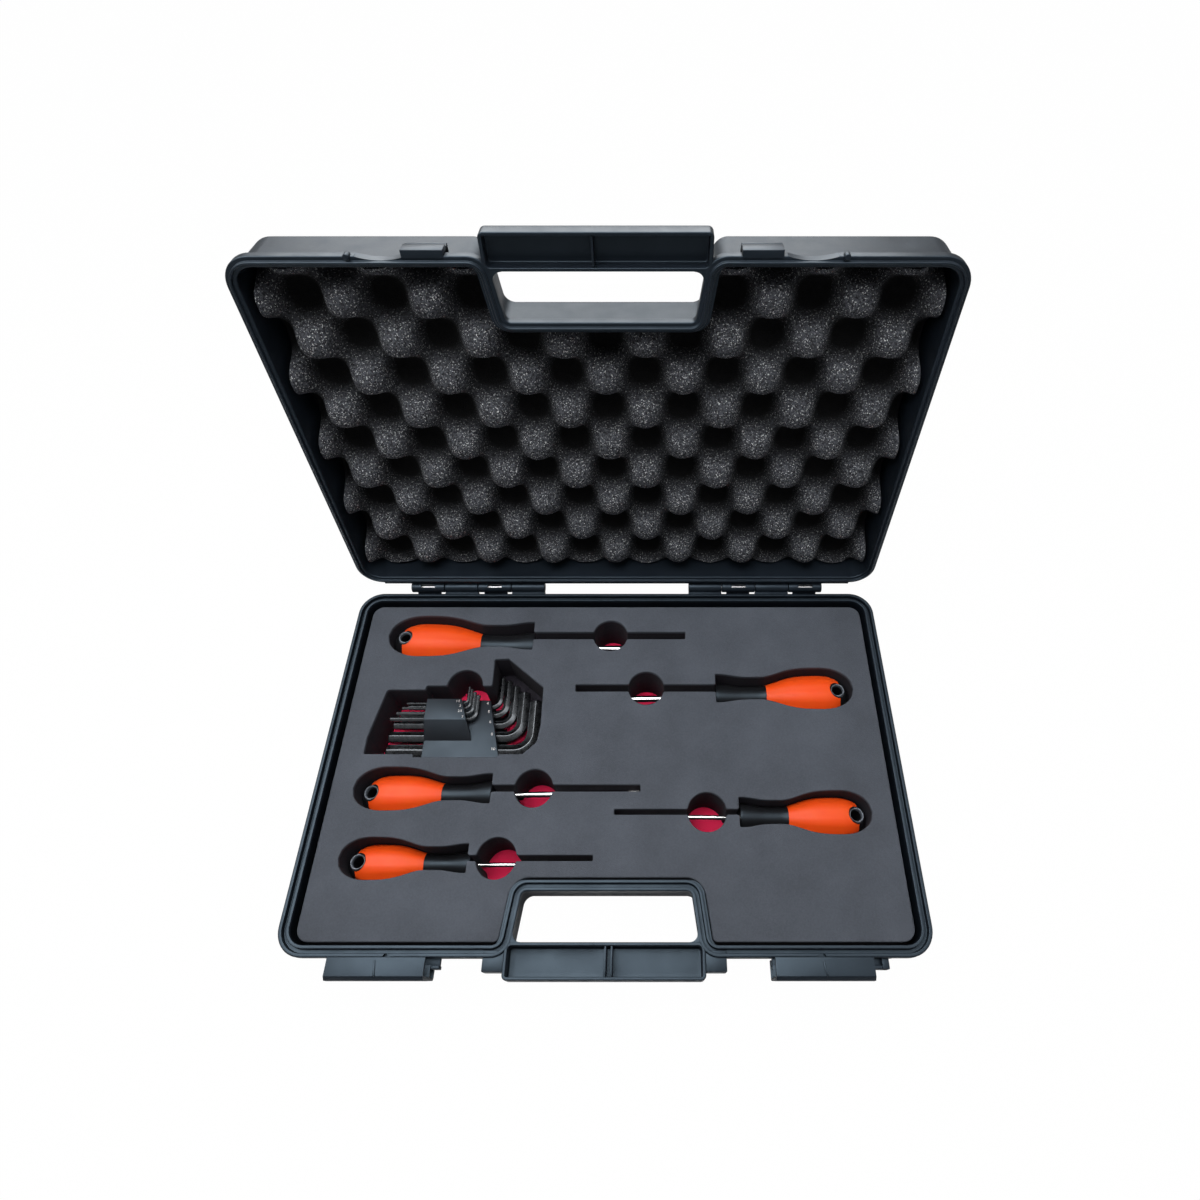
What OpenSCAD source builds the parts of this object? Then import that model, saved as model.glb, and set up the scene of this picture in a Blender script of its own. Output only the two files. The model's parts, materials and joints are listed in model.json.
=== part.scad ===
// Hard tool case: a moulded base and lid on two pin hinges, two sliding latches, a split
// carrying handle, and a cut foam insert that holds five screwdrivers and a set of hex keys.
// The lid stands open, the latches are drawn apart and every tool lies in its pocket.
// Origin: centre of the base's underside. +X right, -Y the handle side, +Z up. Millimetres.

/* [Case] */
// Width of the rim, side to side
case_w = 395; // [380:1:420]
// Depth of the rim, hinge side to handle side
case_d = 253; // [250:1:262]
// Height of the base, underside to rim
base_h = 49; // [47:1:56]
// Height of the lid, rim to top
lid_h = 35; // [33:1:42]
// Radius of the four rim corners
corner_r = 17; // [15:1:24]
// Thickness of the moulded walls
wall = 2.8; // [2.6:0.1:3.2]
// How far the side walls stand in from the rim's edge
wall_inset = 3.2; // [3:0.1:3.6]
// Height of the flange around the rim
flange_h = 5; // [4:0.5:6]

/* [Hinges] */
// Angle between the base and the lid when the lid rests open
open_angle = 99; // [92:1:104]
// Distance of the hinge line behind the rim
hinge_back = 5.5; // [5.3:0.1:6]
// Outer radius of a hinge knuckle
knuckle_r = 4; // [3.6:0.1:4.2]
// Radius of the hinge pins
pin_r = 1.5; // [1.2:0.1:2]
// Length of one knuckle
knuckle_l = 26; // [20:1:27]
// Distance from the centre line to the inner end of each hinge
hinge_start = 56; // [50:1:60]

/* [Handle] */
// Half width of the handle notch at the rim's front
notch_mouth = 57.5; // [56:0.5:58]
// Half width of the handle notch at its inner end
notch_end = 52.5; // [46:0.5:54]
// Depth of the handle notch
notch_depth = 36.7; // [34:0.1:46]
// How much further the walls stand in from the rim's edge inside the notch
notch_flange = 2; // [1:0.1:2.4]
// How far the grip stands in front of the rim
grip_reach = 12; // [10:0.5:15]
// Thickness of the grip, front to back
grip_d = 20.3; // [18:0.1:22]
// Height of the grip's lower half
grip_h = 13; // [12.5:0.5:16]
// Height of the grip's upper half
lid_grip_h = 9.5; // [8:0.5:12]

/* [Latches] */
// Length of a latch slider
slider_l = 57; // [50:1:58]
// Distance from the centre line to a slider when it is locked
slider_locked = 74; // [73.5:0.5:75]
// How far the left slider is drawn out
left_drawn = 29; // [27:0.5:29]
// How far the right slider is drawn out
right_drawn = 25.5; // [24:0.5:30]

/* [Foam] */
// Distance of the foam's edge from the rim's edge
foam_in = 8.9; // [8.2:0.1:9.6]
// Distance of the foam's top below the rim
foam_drop = 5.7; // [5:0.1:7]
// Thickness of the red backing foam
backing_t = 3; // [2:0.5:4]
// Diameter of the finger holes
finger_d = 26; // [22:1:28]
// Distance between neighbouring bumps of the lid foam
bump_pitch = 48; // [44:1:52]
// Distance between rows of bumps
bump_row = 25; // [23:1:27]

/* [Tools] */
// Depth of a handle's orange grip sleeve
sleeve_t = 1.8; // [1.2:0.1:2.4]
// Radius of the hang hole in a screwdriver's tail
hang_r = 3.5; // [2.5:0.1:3.6]

/* [Hidden] */
$fn = 48;

case_black = "#24272c";
foam_grey = "#4a4e55";
tool_black = "#17181a";
grip_orange = "#ff6026";

eps = 0.01;             // overlap that joins two solids
front_y = -case_d / 2;  // outer edge of the rim at the handle side
back_y = case_d / 2;    // outer edge of the rim at the hinge side
arc_steps = 6;          // straight pieces in a rounded corner

rim_gap = 0.3;          // gap between the closed rims
lid_z = base_h + rim_gap;
hinge_y = back_y + hinge_back;
hinge_z = base_h + 0.4;
running = 0.05;         // radial clearance of a knuckle on its pin
heel_lean = 34;         // angle of a hinge heel from straight down when the lid rests open

groove_in = 1.9;        // the groove in the base rim: inset, width and depth
groove_w = 2.5;
groove_h = 2.4;
tongue_in = 2.4;        // the tongue under the lid rim: inset, width and depth
tongue_w = 1.5;
tongue_h = 1.8;
ridge_h = 3;            // height of the ridge inside the groove
lid_lip = 1.3;          // how far the lid's rim reaches back between the hinges
mouth_r = 12;           // rounding where the notch leaves the rim's front
end_r = 3.5;            // rounding at the notch's inner corners
edge_r = 4;             // rounding along the lower edge of the base and the top of the lid

grip_wall = 2;          // wall of the handle's trough
grip_end = notch_mouth + 2.5;   // half length of the handle
web = [9, 6];           // the webs that join it to the notch's sides: along and across it
peg_x = 129;            // alignment peg on the lid and its notch in the base

catches = [[-101, -79], [75, 96.5]];            // the lid's two catches: from, to
rails = [[-160, -98.5], [100, 169.3]];          // the rails that carry the sliders
rail_stop = 165;        // where the right rail's end stop starts
stop_out = 72.5;        // end of the stop block beside the handle
scoop_x = 112;          // shallow scoop in the lid's flange beside each catch: middle, radius, depth
scoop_r = 45;
scoop_in = 2.1;

backing_z = wall + 0.1;
tray_z = backing_z + backing_t + 0.1;
tray_top = base_h - foam_drop;
pocket_gap = 0.4;       // room between a tool and its pocket
lid_foam_peak = 4.5;    // distance of the bump tips from the lid's rim
lid_foam_valley = 24;   // distance of the sheet between the bumps

// A screwdriver: [line in Y, tail end in X, direction the blade points, handle length,
// handle radius, blade radius, tip in X, finger hole in X, 0 for a flat tip or 1 for a cross,
// height of its axis at the handle's thickest part, how far the blade dips in degrees]
drivers = [
    [92.5, -172.4, 1, 109, 16.9, 2.75, 52, -4, 0, 25.9, 2.2],
    [49.2, 174, -1, 99, 15.8, 2.5, -27, 23.5, 1, 26.1, 1.6],
    [-24.1, -173.4, 1, 92, 14.4, 2, 19, -52, 0, 22.5, -3],
    [-39.9, 173.6, -1, 87, 13.9, 1.5, 3.8, 64.5, 1, 25, -2.5],
    [-69.1, -172.8, 1, 81.5, 12.7, 1.5, -11, -72, 0, 21.5, 0]
];
thickest = 0.3;         // where along the handle that height is taken
foam_under = 0.5;       // room between a handle and the foam under it

// A hex key: [width across flats, line in Y, outside of the bend in X, length of the long arm,
// length of the short arm, height of its middle above the underside]
small_keys = [
    [1.5, 40.6, -106.8, 45, 14, 34.6],
    [2, 36.8, -104.6, 50, 16, 34.6],
    [2.5, 32.8, -101.8, 56, 18, 34.6],
    [3, 28.4, -98.6, 63, 20, 34.6]
];
large_keys = [
    [4, 42.4, -84, 70, 26, 23],
    [5, 35.8, -78.5, 80, 30, 23],
    [6, 28, -72.2, 90, 34, 23],
    [8, 18.6, -63.9, 100, 39, 23],
    [10, 7.6, -53.4, 110, 44, 23]
];
tray_box = [[-136, -0.5, 15], [-80.5, 45, 30.5]];   // low and high corner of the key tray
tray_back_x = -92;      // where its slanted right side ends at the back
clip_box = [[-136, 13.5, 30.5], [-101.5, 42.4, 39.5]];
clip_back_x = -110.8;
clip_top_y = 26.5;      // where the clip's slope reaches its top
key_room = 0.3;         // how much wider a key's hole is than the key

// ---- outlines -------------------------------------------------------------------------

function unit(v) = v / norm(v);

// The points of one rounded corner at v, between its neighbours p and q.
function corner(p, v, q, r) =
    let (d1 = unit(p - v), d2 = unit(q - v), half = acos(d1 * d2) / 2,
         c = v + unit(d1 + d2) * r / sin(half),
         s = v + d1 * r / tan(half) - c, e = v + d2 * r / tan(half) - c,
         a0 = atan2(s.y, s.x), sweep = (atan2(e.y, e.x) - a0 + 540) % 360 - 180)
    [for (k = [0 : arc_steps]) c + r * [cos(a0 + sweep * k / arc_steps), sin(a0 + sweep * k / arc_steps)]];

// A polygon with each of its corners rounded.
function rounded(pts, radii) =
    let (n = len(pts))
    [for (i = [0 : n - 1]) each corner(pts[(i + n - 1) % n], pts[i], pts[(i + 1) % n], radii[i])];

// The case's outline moved inwards by inset, and by more inside the notch.
function case_outline(inset, more = 0) =
    let (lean = atan((notch_mouth - notch_end) / notch_depth),
         k = (1 - sin(lean)) / cos(lean),
         x = case_w / 2 - inset, y0 = front_y + inset, y1 = back_y - inset,
         mouth = notch_mouth + k * inset + more, end = notch_end + k * inset + more,
         y_end = front_y + notch_depth + inset + more / 2,
         outer = corner_r - inset, m = mouth_r - inset, e = end_r + inset)
    rounded([[x, y0], [x, y1], [-x, y1], [-x, y0], [-mouth, y0], [-end, y_end], [end, y_end], [mouth, y0]],
            [outer, outer, outer, outer, m, e, e, m]);

module slab(inset, z, h, more = 0) {
    translate([0, 0, z]) linear_extrude(h) polygon(case_outline(inset, more));
}

// A wall of the case's outline between two insets.
module band(inset, width, z, h) {
    translate([0, 0, z]) linear_extrude(h) difference() {
        polygon(case_outline(inset));
        polygon(case_outline(inset + width));
    }
}

module block(low, high) {
    translate(low) cube(high - low);
}

module both_sides() {
    children();
    mirror([1, 0, 0]) children();
}

// Swings the closed lid about the hinge line to where it rests.
module opened() {
    translate([0, hinge_y, hinge_z]) rotate([-open_angle, 0, 0])
        translate([0, -hinge_y, -hinge_z]) children();
}

// A solid along X from a section drawn in Y and Z.
module along_x(x0, length) {
    translate([x0, 0, 0]) rotate([90, 0, 90]) linear_extrude(length) children();
}

// ---- the moulded shells ---------------------------------------------------------------

// The closed side of a shell, with its edge stepped round: z counts up from the closed face.
module rounded_floor(h) {
    for (k = [0 : 3]) {
        a = 90 * k / 4;
        b = 90 * (k + 1) / 4;
        z = edge_r * (1 - cos(a));
        slab(wall_inset + edge_r * (1 - sin((a + b) / 2)), z, h - z, notch_flange);
    }
}

// A shell with its closed face at z = 0 and its rim at z = h.
module shell(h) {
    difference() {
        union() {
            rounded_floor(h);
            slab(0, h - flange_h, flange_h);
        }
        slab(wall_inset + wall, wall, h, notch_flange);
        band(wall_inset + wall, notch_flange + eps, h - ridge_h, ridge_h + 1);
    }
}

// One half of the handle: a trough of the given height that opens at z = h, with ribs.
module grip_half(h, height, ribs) {
    y0 = front_y - grip_reach;
    difference() {
        translate([0, 0, h - height]) linear_extrude(height)
            polygon(rounded([[-grip_end, y0], [grip_end, y0],
                             [grip_end, y0 + grip_d], [-grip_end, y0 + grip_d]], [3, 3, 1, 1]));
        block([-grip_end + grip_wall, y0 + grip_wall, h - height + grip_wall],
              [grip_end - grip_wall, y0 + grip_d - grip_wall, h + 1]);
    }
    for (x = ribs)
        block([x, y0 + grip_wall - eps, h - height + 1], [x + 1.2, y0 + grip_d - grip_wall + eps, h - 0.6]);
    both_sides() translate([grip_end, y0 + grip_d - 1, h - flange_h]) linear_extrude(flange_h)
        polygon([[-web.x, 0], [0, 0], [-grip_wall, web.y + 1], [-0.4 * web.x, web.y + 1]]);
}

// Knuckles on one side, counted outwards from the centre line; first is 0 for the base, 1 for the lid.
module knuckles(first, web_z0, web_z1) {
    both_sides() for (k = [first : 2 : 3]) {
        x = hinge_start + k * knuckle_l + 0.2;
        l = knuckle_l - 0.4;
        difference() {
            union() {
                translate([x, hinge_y, hinge_z]) rotate([0, 90, 0]) cylinder(r = knuckle_r, h = l);
                block([x, back_y - 1, web_z0], [x + l, hinge_y, web_z1]);
            }
            translate([x - 1, hinge_y, hinge_z]) rotate([0, 90, 0]) cylinder(r = pin_r + running, h = l + 2);
        }
    }
}

// The rails that the sliders run on, and the blocks beside the handle where they stop.
module slider_rails() {
    stem_z = base_h - 10;
    y = front_y + wall_inset + 1;
    for (r = rails) {
        block([r[0], front_y - 4.5, stem_z], [r[1], y, stem_z + 3]);
        block([r[0], front_y - 5.7, base_h - 12], [r[1], front_y - 3.7, base_h - 5]);
    }
    block([rail_stop, front_y - 5.7, base_h - 12.5], [rails[1][1], y, base_h - 4.5]);
    both_sides() block([grip_end - 1, front_y - 7.5, base_h - 12], [stop_out, y, base_h - 1.5]);
}

module base_shell() {
    color(case_black) {
        difference() {
            union() {
                shell(base_h);
                grip_half(base_h, grip_h, [-0.3, 3.5]);
            }
            band(groove_in, groove_w, base_h - groove_h, groove_h + 1);
            both_sides() translate([peg_x, front_y + 0.2, base_h - 3]) cylinder(r = 2.4, h = 4);
        }
        slider_rails();
        knuckles(0, base_h - flange_h, base_h - 0.3);
    }
}

// The catches on the lid's front that the sliders hook over, and the pegs beside them.
module lid_catches() {
    y = front_y + wall_inset + 1;
    for (c = catches) {
        block([c[0], front_y - 3.2, lid_z], [c[1], y, base_h + 8]);
        block([c[0], front_y - 0.9, lid_z], [c[1], y, base_h + 12.5]);
        block([c[0], front_y - 2, base_h + 10.8], [c[1], y, base_h + 12.5]);
    }
    both_sides() intersection() {
        translate([peg_x, front_y + 0.2, lid_z - tongue_h]) cylinder(r = 1.8, h = tongue_h + 1);
        block([0, front_y, 0], [case_w / 2, front_y + 5, lid_z + 2]);
    }
}

// A heel on each lid knuckle, which meets the base flange when the lid rests open.
module lid_heels() {
    both_sides() for (k = [1, 3])
        translate([hinge_start + k * knuckle_l + 4, hinge_y, hinge_z]) rotate([open_angle - heel_lean, 0, 0])
            block([0, -1.2, -8.4], [knuckle_l - 8, 1.2, -knuckle_r + 1]);
}

module lid_shell() {
    color(case_black) opened() {
        difference() {
            union() {
                translate([0, 0, lid_z + lid_h]) mirror([0, 0, 1]) {
                    shell(lid_h);
                    grip_half(lid_h, lid_grip_h, [-2.9]);
                }
                band(tongue_in, tongue_w, lid_z - tongue_h, tongue_h + 1);
                block([-case_w / 2 + corner_r, back_y - 1, lid_z],
                      [case_w / 2 - corner_r, back_y + lid_lip, lid_z + flange_h]);
            }
            both_sides() translate([scoop_x, front_y + scoop_in - scoop_r, lid_z - 1])
                cylinder(r = scoop_r, h = flange_h + 2, $fn = 96);
        }
        lid_catches();
        knuckles(1, hinge_z, lid_z + flange_h);
        lid_heels();
    }
}

module hinge_pin() {
    translate([hinge_start + 1, hinge_y, hinge_z]) rotate([0, 90, 0])
        cylinder(r = pin_r, h = 4 * knuckle_l - 2);
}

module hinge_pin_left() {
    color("silver") mirror([1, 0, 0]) hinge_pin();
}

module hinge_pin_right() {
    color("silver") hinge_pin();
}

// ---- the sliding latches --------------------------------------------------------------

// The slider's section: q counts outwards from the rim's front edge, z up from the base rim.
module slider_section() {
    difference() {
        polygon([[0.5, -14], [10, -14], [11.3, -12.7], [12.5, 4], [12.5, 8.3], [10.5, 10.3], [0.5, 10.3]]);
        translate([-1, -3.6]) square([11.2, 12]);
        translate([-1, -3.6]) square([2.6, 15]);
        translate([3.4, -12.3]) square([2.6, 7.6]);
        translate([-1, -10.3]) square([4.5, 3.6]);
        translate([5.9, -12]) square([4.3, 2.8]);
        translate([5.9, -7.4]) square([4.3, 2.4]);
    }
}

// A slider on the right of the case, its inner end at x0, with a thumb rib at its middle.
module slider(x0) {
    along_x(x0, slider_l) translate([front_y, base_h]) mirror([1, 0]) slider_section();
    x = x0 + slider_l / 2;
    block([x - 0.7, front_y - 11, base_h + 10], [x + 0.7, front_y - 2.2, base_h + 10.9]);
}

module latch_slider_left() {
    color(case_black) mirror([1, 0, 0]) slider(slider_locked + left_drawn);
}

module latch_slider_right() {
    color(case_black) slider(slider_locked + right_drawn);
}

// ---- screwdrivers ---------------------------------------------------------------------

function ease(a, b, u) = a + (b - a) * (1 - cos(180 * u)) / 2;

// A handle's radius, as a share of its largest, at t from its tail (0) to its collar (1).
function handle_r(t) =
    t < 0.22 ? sqrt(1 - pow((0.22 - t) / 0.22, 2))
    : t < 0.68 ? ease(1, 0.53, pow((t - 0.22) / 0.46, 1.7))
    : t < 0.78 ? 0.53
    : ease(0.53, 0.68, (t - 0.78) / 0.22);

tail_steps = [for (k = [0 : 5]) 0.22 * (1 - cos(15 * k))];
body_steps = [for (k = [0 : 13]) 0.22 + 0.06 * k];
steps = concat(tail_steps, body_steps);
sleeve_from = 0.08;     // where the orange sleeve starts and ends on a handle
sleeve_to = 0.62;
hang_t = 0.1;           // where the hang hole crosses the tail
hang_scoop = 2.9;       // width of the bare ring round the hang hole
neck_in = 0.35;         // how far the blade reaches into the handle

// The outline of half a handle, grown by g: x along the handle, y outwards.
function half_handle(d, g, from = 0, to = 1) =
    let (between = [for (t = steps) if (t > from + 0.01 && t < to - 0.01) t])
    [for (t = concat([from], between, [to])) [t * d[3], handle_r(t) * d[4] + (t > 0 ? g : 0)]];

// Places a driver's own frame, with X from tail to tip, on its line in the case.
module on_driver_line(d) {
    pivot = thickest * d[3];
    translate([d[1], d[0], d[9]]) scale([d[2], 1, 1])
        translate([pivot, 0, 0]) rotate([0, d[10], 0]) translate([-pivot, 0, 0]) children();
}

module handle_solid(d, from, to, skin) {
    pts = half_handle(d, -skin, from, to);
    rotate([0, 90, 0]) rotate_extrude()
        polygon([for (p = concat([[pts[0].x, 0]], pts, [[pts[len(pts) - 1].x, 0]])) [p.y, p.x]]);
}

// The sleeve's space, between the handle's surface and the core, open around the hang hole.
module sleeve_space(d, gap) {
    difference() {
        handle_solid(d, sleeve_from, sleeve_to, -gap);
        handle_solid(d, sleeve_from, sleeve_to, sleeve_t);
        translate([hang_t * d[3], 0, -20]) cylinder(r = hang_r + hang_scoop, h = 40);
    }
}

module driver_core(d) {
    color(tool_black) on_driver_line(d) difference() {
        handle_solid(d, 0, 1, 0);
        sleeve_space(d, 1);
        translate([hang_t * d[3], 0, -20]) cylinder(r = hang_r, h = 40);
        translate([neck_in * d[3], 0, 0]) rotate([0, 90, 0]) cylinder(r = d[5], h = d[3]);
    }
}

module driver_grip(d) {
    color(grip_orange) on_driver_line(d) sleeve_space(d, 0);
}

module driver_blade(d) {
    length = abs(d[6] - d[1]);
    r = d[5];
    tip = 9;
    color("silver") on_driver_line(d) difference() {
        union() {
            translate([neck_in * d[3], 0, 0]) rotate([0, 90, 0])
                cylinder(r = r, h = length - tip - neck_in * d[3]);
            translate([length - tip, 0, 0]) rotate([0, 90, 0])
                cylinder(r1 = r, r2 = d[8] == 1 ? r * 0.35 : r, h = tip);
        }
        if (d[8] == 0) {
            for (s = [-1, 1]) translate([length - tip * 0.8, -r, (s * 0.85 - 0.5) * r])
                cube([tip, 2 * r, r]);
        } else {
            for (a = [45 : 90 : 315]) rotate([a, 0, 0]) translate([length - tip * 0.7, 0.3 * r, 0.3 * r])
                cube([tip, r, r]);
        }
    }
}

// The outline of a handle's pocket.
module handle_pocket(d) {
    half = concat(half_handle(d, pocket_gap, tail_steps[1]),
                  [[d[3] + 2 * pocket_gap, handle_r(1) * d[4] + pocket_gap]]);
    translate([d[1], d[0]]) scale([d[2], 1])
        polygon(concat([[-pocket_gap, 0]], half,
                       [for (k = [len(half) - 1 : -1 : 0]) [half[k].x, -half[k].y]]));
}

// The outline of a blade's slot and the finger hole over it.
module blade_slot(d) {
    translate([d[1], d[0]]) scale([d[2], 1])
        translate([d[3], -d[5] - 0.3]) square([abs(d[6] - d[1]) - d[3] + 1, 2 * d[5] + 0.6]);
    translate([d[7], d[0]]) circle(d = finger_d);
}

// ---- hex keys -------------------------------------------------------------------------

// A key bent in the level plane: the long arm points left and the short arm back.
module hex_key(k) {
    r = k[0] / sqrt(3);             // corner radius of the hexagon
    half = k[0] / 2;
    bend = k[0] * 1.2 + 1.5;        // bend radius at the middle of the bar
    thinned = 0.99;                 // the bar thins a little where it is bent
    x = k[2] - half;
    color("#2a2b2e") translate([x, k[1], k[5]]) {
        translate([half - k[3], 0, 0]) rotate([0, 90, 0]) cylinder(r = r, h = k[3] - half - bend, $fn = 6);
        translate([-bend, bend, 0]) rotate([0, 0, -90]) rotate_extrude(angle = 90)
            translate([bend, 0]) rotate(30) circle(r = thinned * r, $fn = 6);
        translate([0, bend, 0]) rotate([-90, 30, 0]) cylinder(r = r, h = k[4] - half - bend, $fn = 6);
    }
}

module key_holes(keys) {
    for (k = keys) translate([-case_w / 2, k[1], k[5]]) rotate([0, 90, 0])
        cylinder(r = (k[0] + key_room) / sqrt(3), h = case_w / 2, $fn = 6);
}

// A block whose right side slants towards back_x at its back.
module slanted_block(low, high, back_x) {
    translate([0, 0, low.z]) linear_extrude(high.z - low.z)
        polygon([[low.x, low.y], [high.x, low.y], [back_x, high.y], [low.x, high.y]]);
}

module hex_key_tray() {
    color(tool_black) difference() {
        slanted_block(tray_box[0], tray_box[1], tray_back_x);
        key_holes(large_keys);
    }
}

module hex_key_clip() {
    low = clip_box[0];
    high = clip_box[1];
    color(tool_black) difference() {
        intersection() {
            slanted_block(low, high, clip_back_x);
            along_x(low.x, high.x - low.x)
                polygon([[low.y, low.z], [clip_top_y, high.z], [high.y, high.z], [high.y, low.z]]);
        }
        key_holes(small_keys);
    }
}

// The pocket for the keys, with a finger hole at its back edge.
module key_cutout() {
    polygon(rounded([[-172, -0.4], [-137.6, -0.4], [-137.6, -2.6], [-78.5, -2.6], [-78.5, -0.4], [-62, -0.4],
                     [-53, 8], [-51.2, 21], [-51.6, 49.6], [-79.4, 72.8], [-89.6, 72.4], [-89, 51],
                     [-137, 51], [-137, 47.8], [-165, 47.8], [-172, 12]],
                    [1, 0.5, 0.5, 0.5, 0.5, 3, 4, 2, 2, 1, 1, 1, 1, 0.5, 2, 2]));
    translate([-109, 50.6]) circle(d = finger_d);
}

// ---- foam -----------------------------------------------------------------------------

module foam_backing() {
    color("crimson") slab(foam_in, backing_z, backing_t);
}

module foam_tray() {
    color(foam_grey) {
        difference() {
            translate([0, 0, tray_z]) linear_extrude(tray_top - tray_z) difference() {
                polygon(case_outline(foam_in));
                for (d = drivers) blade_slot(d);
                key_cutout();
            }
            for (d = drivers)
                translate([0, 0, d[9] - d[4] - foam_under]) linear_extrude(base_h) handle_pocket(d);
        }
        // the foam left uncut under the key set holds it up near the surface
        block([-134, -3, tray_z], [-82, 44, tray_box[0].z]);
    }
}

// The lid's foam: a sheet with staggered rows of soft bumps.
module lid_foam() {
    sheet_z = lid_z + lid_foam_valley;
    color("#3b3d42") opened() difference() {
        union() {
            slab(foam_in, sheet_z, lid_h - wall - lid_foam_valley - 0.1);
            for (row = [0 : 8], n = [-4 : 4]) {
                x = (n + (row % 2) / 2) * bump_pitch;
                y = back_y - 28 - row * bump_row;
                if (abs(x) < case_w / 2 - 22 && (y > front_y + notch_depth + 22 || abs(x) > notch_mouth + 22))
                    translate([x, y, lid_z + lid_foam_peak])
                        cylinder(r1 = 5, r2 = 13, h = lid_foam_valley - lid_foam_peak + eps, $fn = 24);
            }
        }
    }
}

// ---- nodes ----------------------------------------------------------------------------

base_shell();
hinge_pin_left();
hinge_pin_right();
foam_backing();
foam_tray();
lid_shell();
lid_foam();
latch_slider_left();
latch_slider_right();
driver_blade(drivers[0]);  // screwdriver_1_blade
driver_core(drivers[0]);  // screwdriver_1_core
driver_grip(drivers[0]);  // screwdriver_1_grip
driver_blade(drivers[1]);  // screwdriver_2_blade
driver_core(drivers[1]);  // screwdriver_2_core
driver_grip(drivers[1]);  // screwdriver_2_grip
driver_blade(drivers[2]);  // screwdriver_3_blade
driver_core(drivers[2]);  // screwdriver_3_core
driver_grip(drivers[2]);  // screwdriver_3_grip
driver_blade(drivers[3]);  // screwdriver_4_blade
driver_core(drivers[3]);  // screwdriver_4_core
driver_grip(drivers[3]);  // screwdriver_4_grip
driver_blade(drivers[4]);  // screwdriver_5_blade
driver_core(drivers[4]);  // screwdriver_5_core
driver_grip(drivers[4]);  // screwdriver_5_grip
hex_key_tray();
hex_key_clip();
hex_key(small_keys[0]);  // hex_key_1_5
hex_key(small_keys[1]);  // hex_key_2
hex_key(small_keys[2]);  // hex_key_2_5
hex_key(small_keys[3]);  // hex_key_3
hex_key(large_keys[0]);  // hex_key_4
hex_key(large_keys[1]);  // hex_key_5
hex_key(large_keys[2]);  // hex_key_6
hex_key(large_keys[3]);  // hex_key_8
hex_key(large_keys[4]);  // hex_key_10
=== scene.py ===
"""Hard tool case: an open moulded case with sliding latches, cut foam, screwdrivers and hex keys.

Lengths inside the classes are millimetres, in the frame of the closed case: +X along the hinge
line, -Y the handle side, +Z up out of the base, origin at the centre of the base's underside.
"""
import json
import logging
import math
from dataclasses import dataclass, field
from enum import Enum
from typing import Iterable, Optional, Sequence, Tuple

import bmesh
import bpy
from mathutils import Matrix, Vector, noise


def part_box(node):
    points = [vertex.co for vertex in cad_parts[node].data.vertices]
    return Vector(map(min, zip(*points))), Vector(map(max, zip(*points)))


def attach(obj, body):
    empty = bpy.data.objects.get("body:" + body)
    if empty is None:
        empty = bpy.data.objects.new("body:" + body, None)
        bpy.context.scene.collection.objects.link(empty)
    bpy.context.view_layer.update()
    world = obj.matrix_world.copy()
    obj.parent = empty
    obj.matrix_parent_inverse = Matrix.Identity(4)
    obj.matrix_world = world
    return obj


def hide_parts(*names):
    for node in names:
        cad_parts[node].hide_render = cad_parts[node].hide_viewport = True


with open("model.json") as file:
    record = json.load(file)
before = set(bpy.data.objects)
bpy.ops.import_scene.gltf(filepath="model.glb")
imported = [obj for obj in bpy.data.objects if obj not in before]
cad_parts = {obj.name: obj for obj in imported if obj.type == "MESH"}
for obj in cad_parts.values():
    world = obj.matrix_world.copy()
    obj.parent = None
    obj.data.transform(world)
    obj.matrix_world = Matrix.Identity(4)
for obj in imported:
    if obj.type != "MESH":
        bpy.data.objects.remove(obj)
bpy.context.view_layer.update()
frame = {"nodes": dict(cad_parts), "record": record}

log = logging.getLogger("tool_case")
logging.basicConfig(level=logging.INFO, format="%(message)s")

Point = Tuple[float, float]
MM = 0.001
TO_METRES = Matrix.Scale(MM, 4)
IDENTITY = Matrix.Identity(4)


# ---- places taken from the frame ----------------------------------------------------------

def box_mm(node: str) -> Tuple[Vector, Vector]:
    """A CAD node's lowest and highest corners, in millimetres."""
    low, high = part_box(node)
    return Vector(low) / MM, Vector(high) / MM


def joint_named(name: str) -> dict:
    """The frame's joint of that name."""
    return next(j for j in frame["record"]["behaviour"]["joints"] if j["name"] == name)


BASE_LOW, BASE_HIGH = box_mm("base_shell")
HINGE = Vector(joint_named("lid_hinge")["pos_m"]) / MM
OPEN_ANGLE = -math.radians(min(joint_named("lid_hinge")["range_deg"]))
OPENED = Matrix.Translation(HINGE) @ Matrix.Rotation(-OPEN_ANGLE, 4,
                                                     "X") @ Matrix.Translation(-HINGE)


class Side(Enum):
    """The left or the right half of the case."""

    LEFT = -1
    RIGHT = 1

    @property
    def flip(self) -> Matrix:
        """The matrix that brings a shape drawn on the right to this side."""
        return Matrix.Scale(self.value, 4, (1, 0, 0))


# ---- outlines and sections ----------------------------------------------------------------

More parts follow.
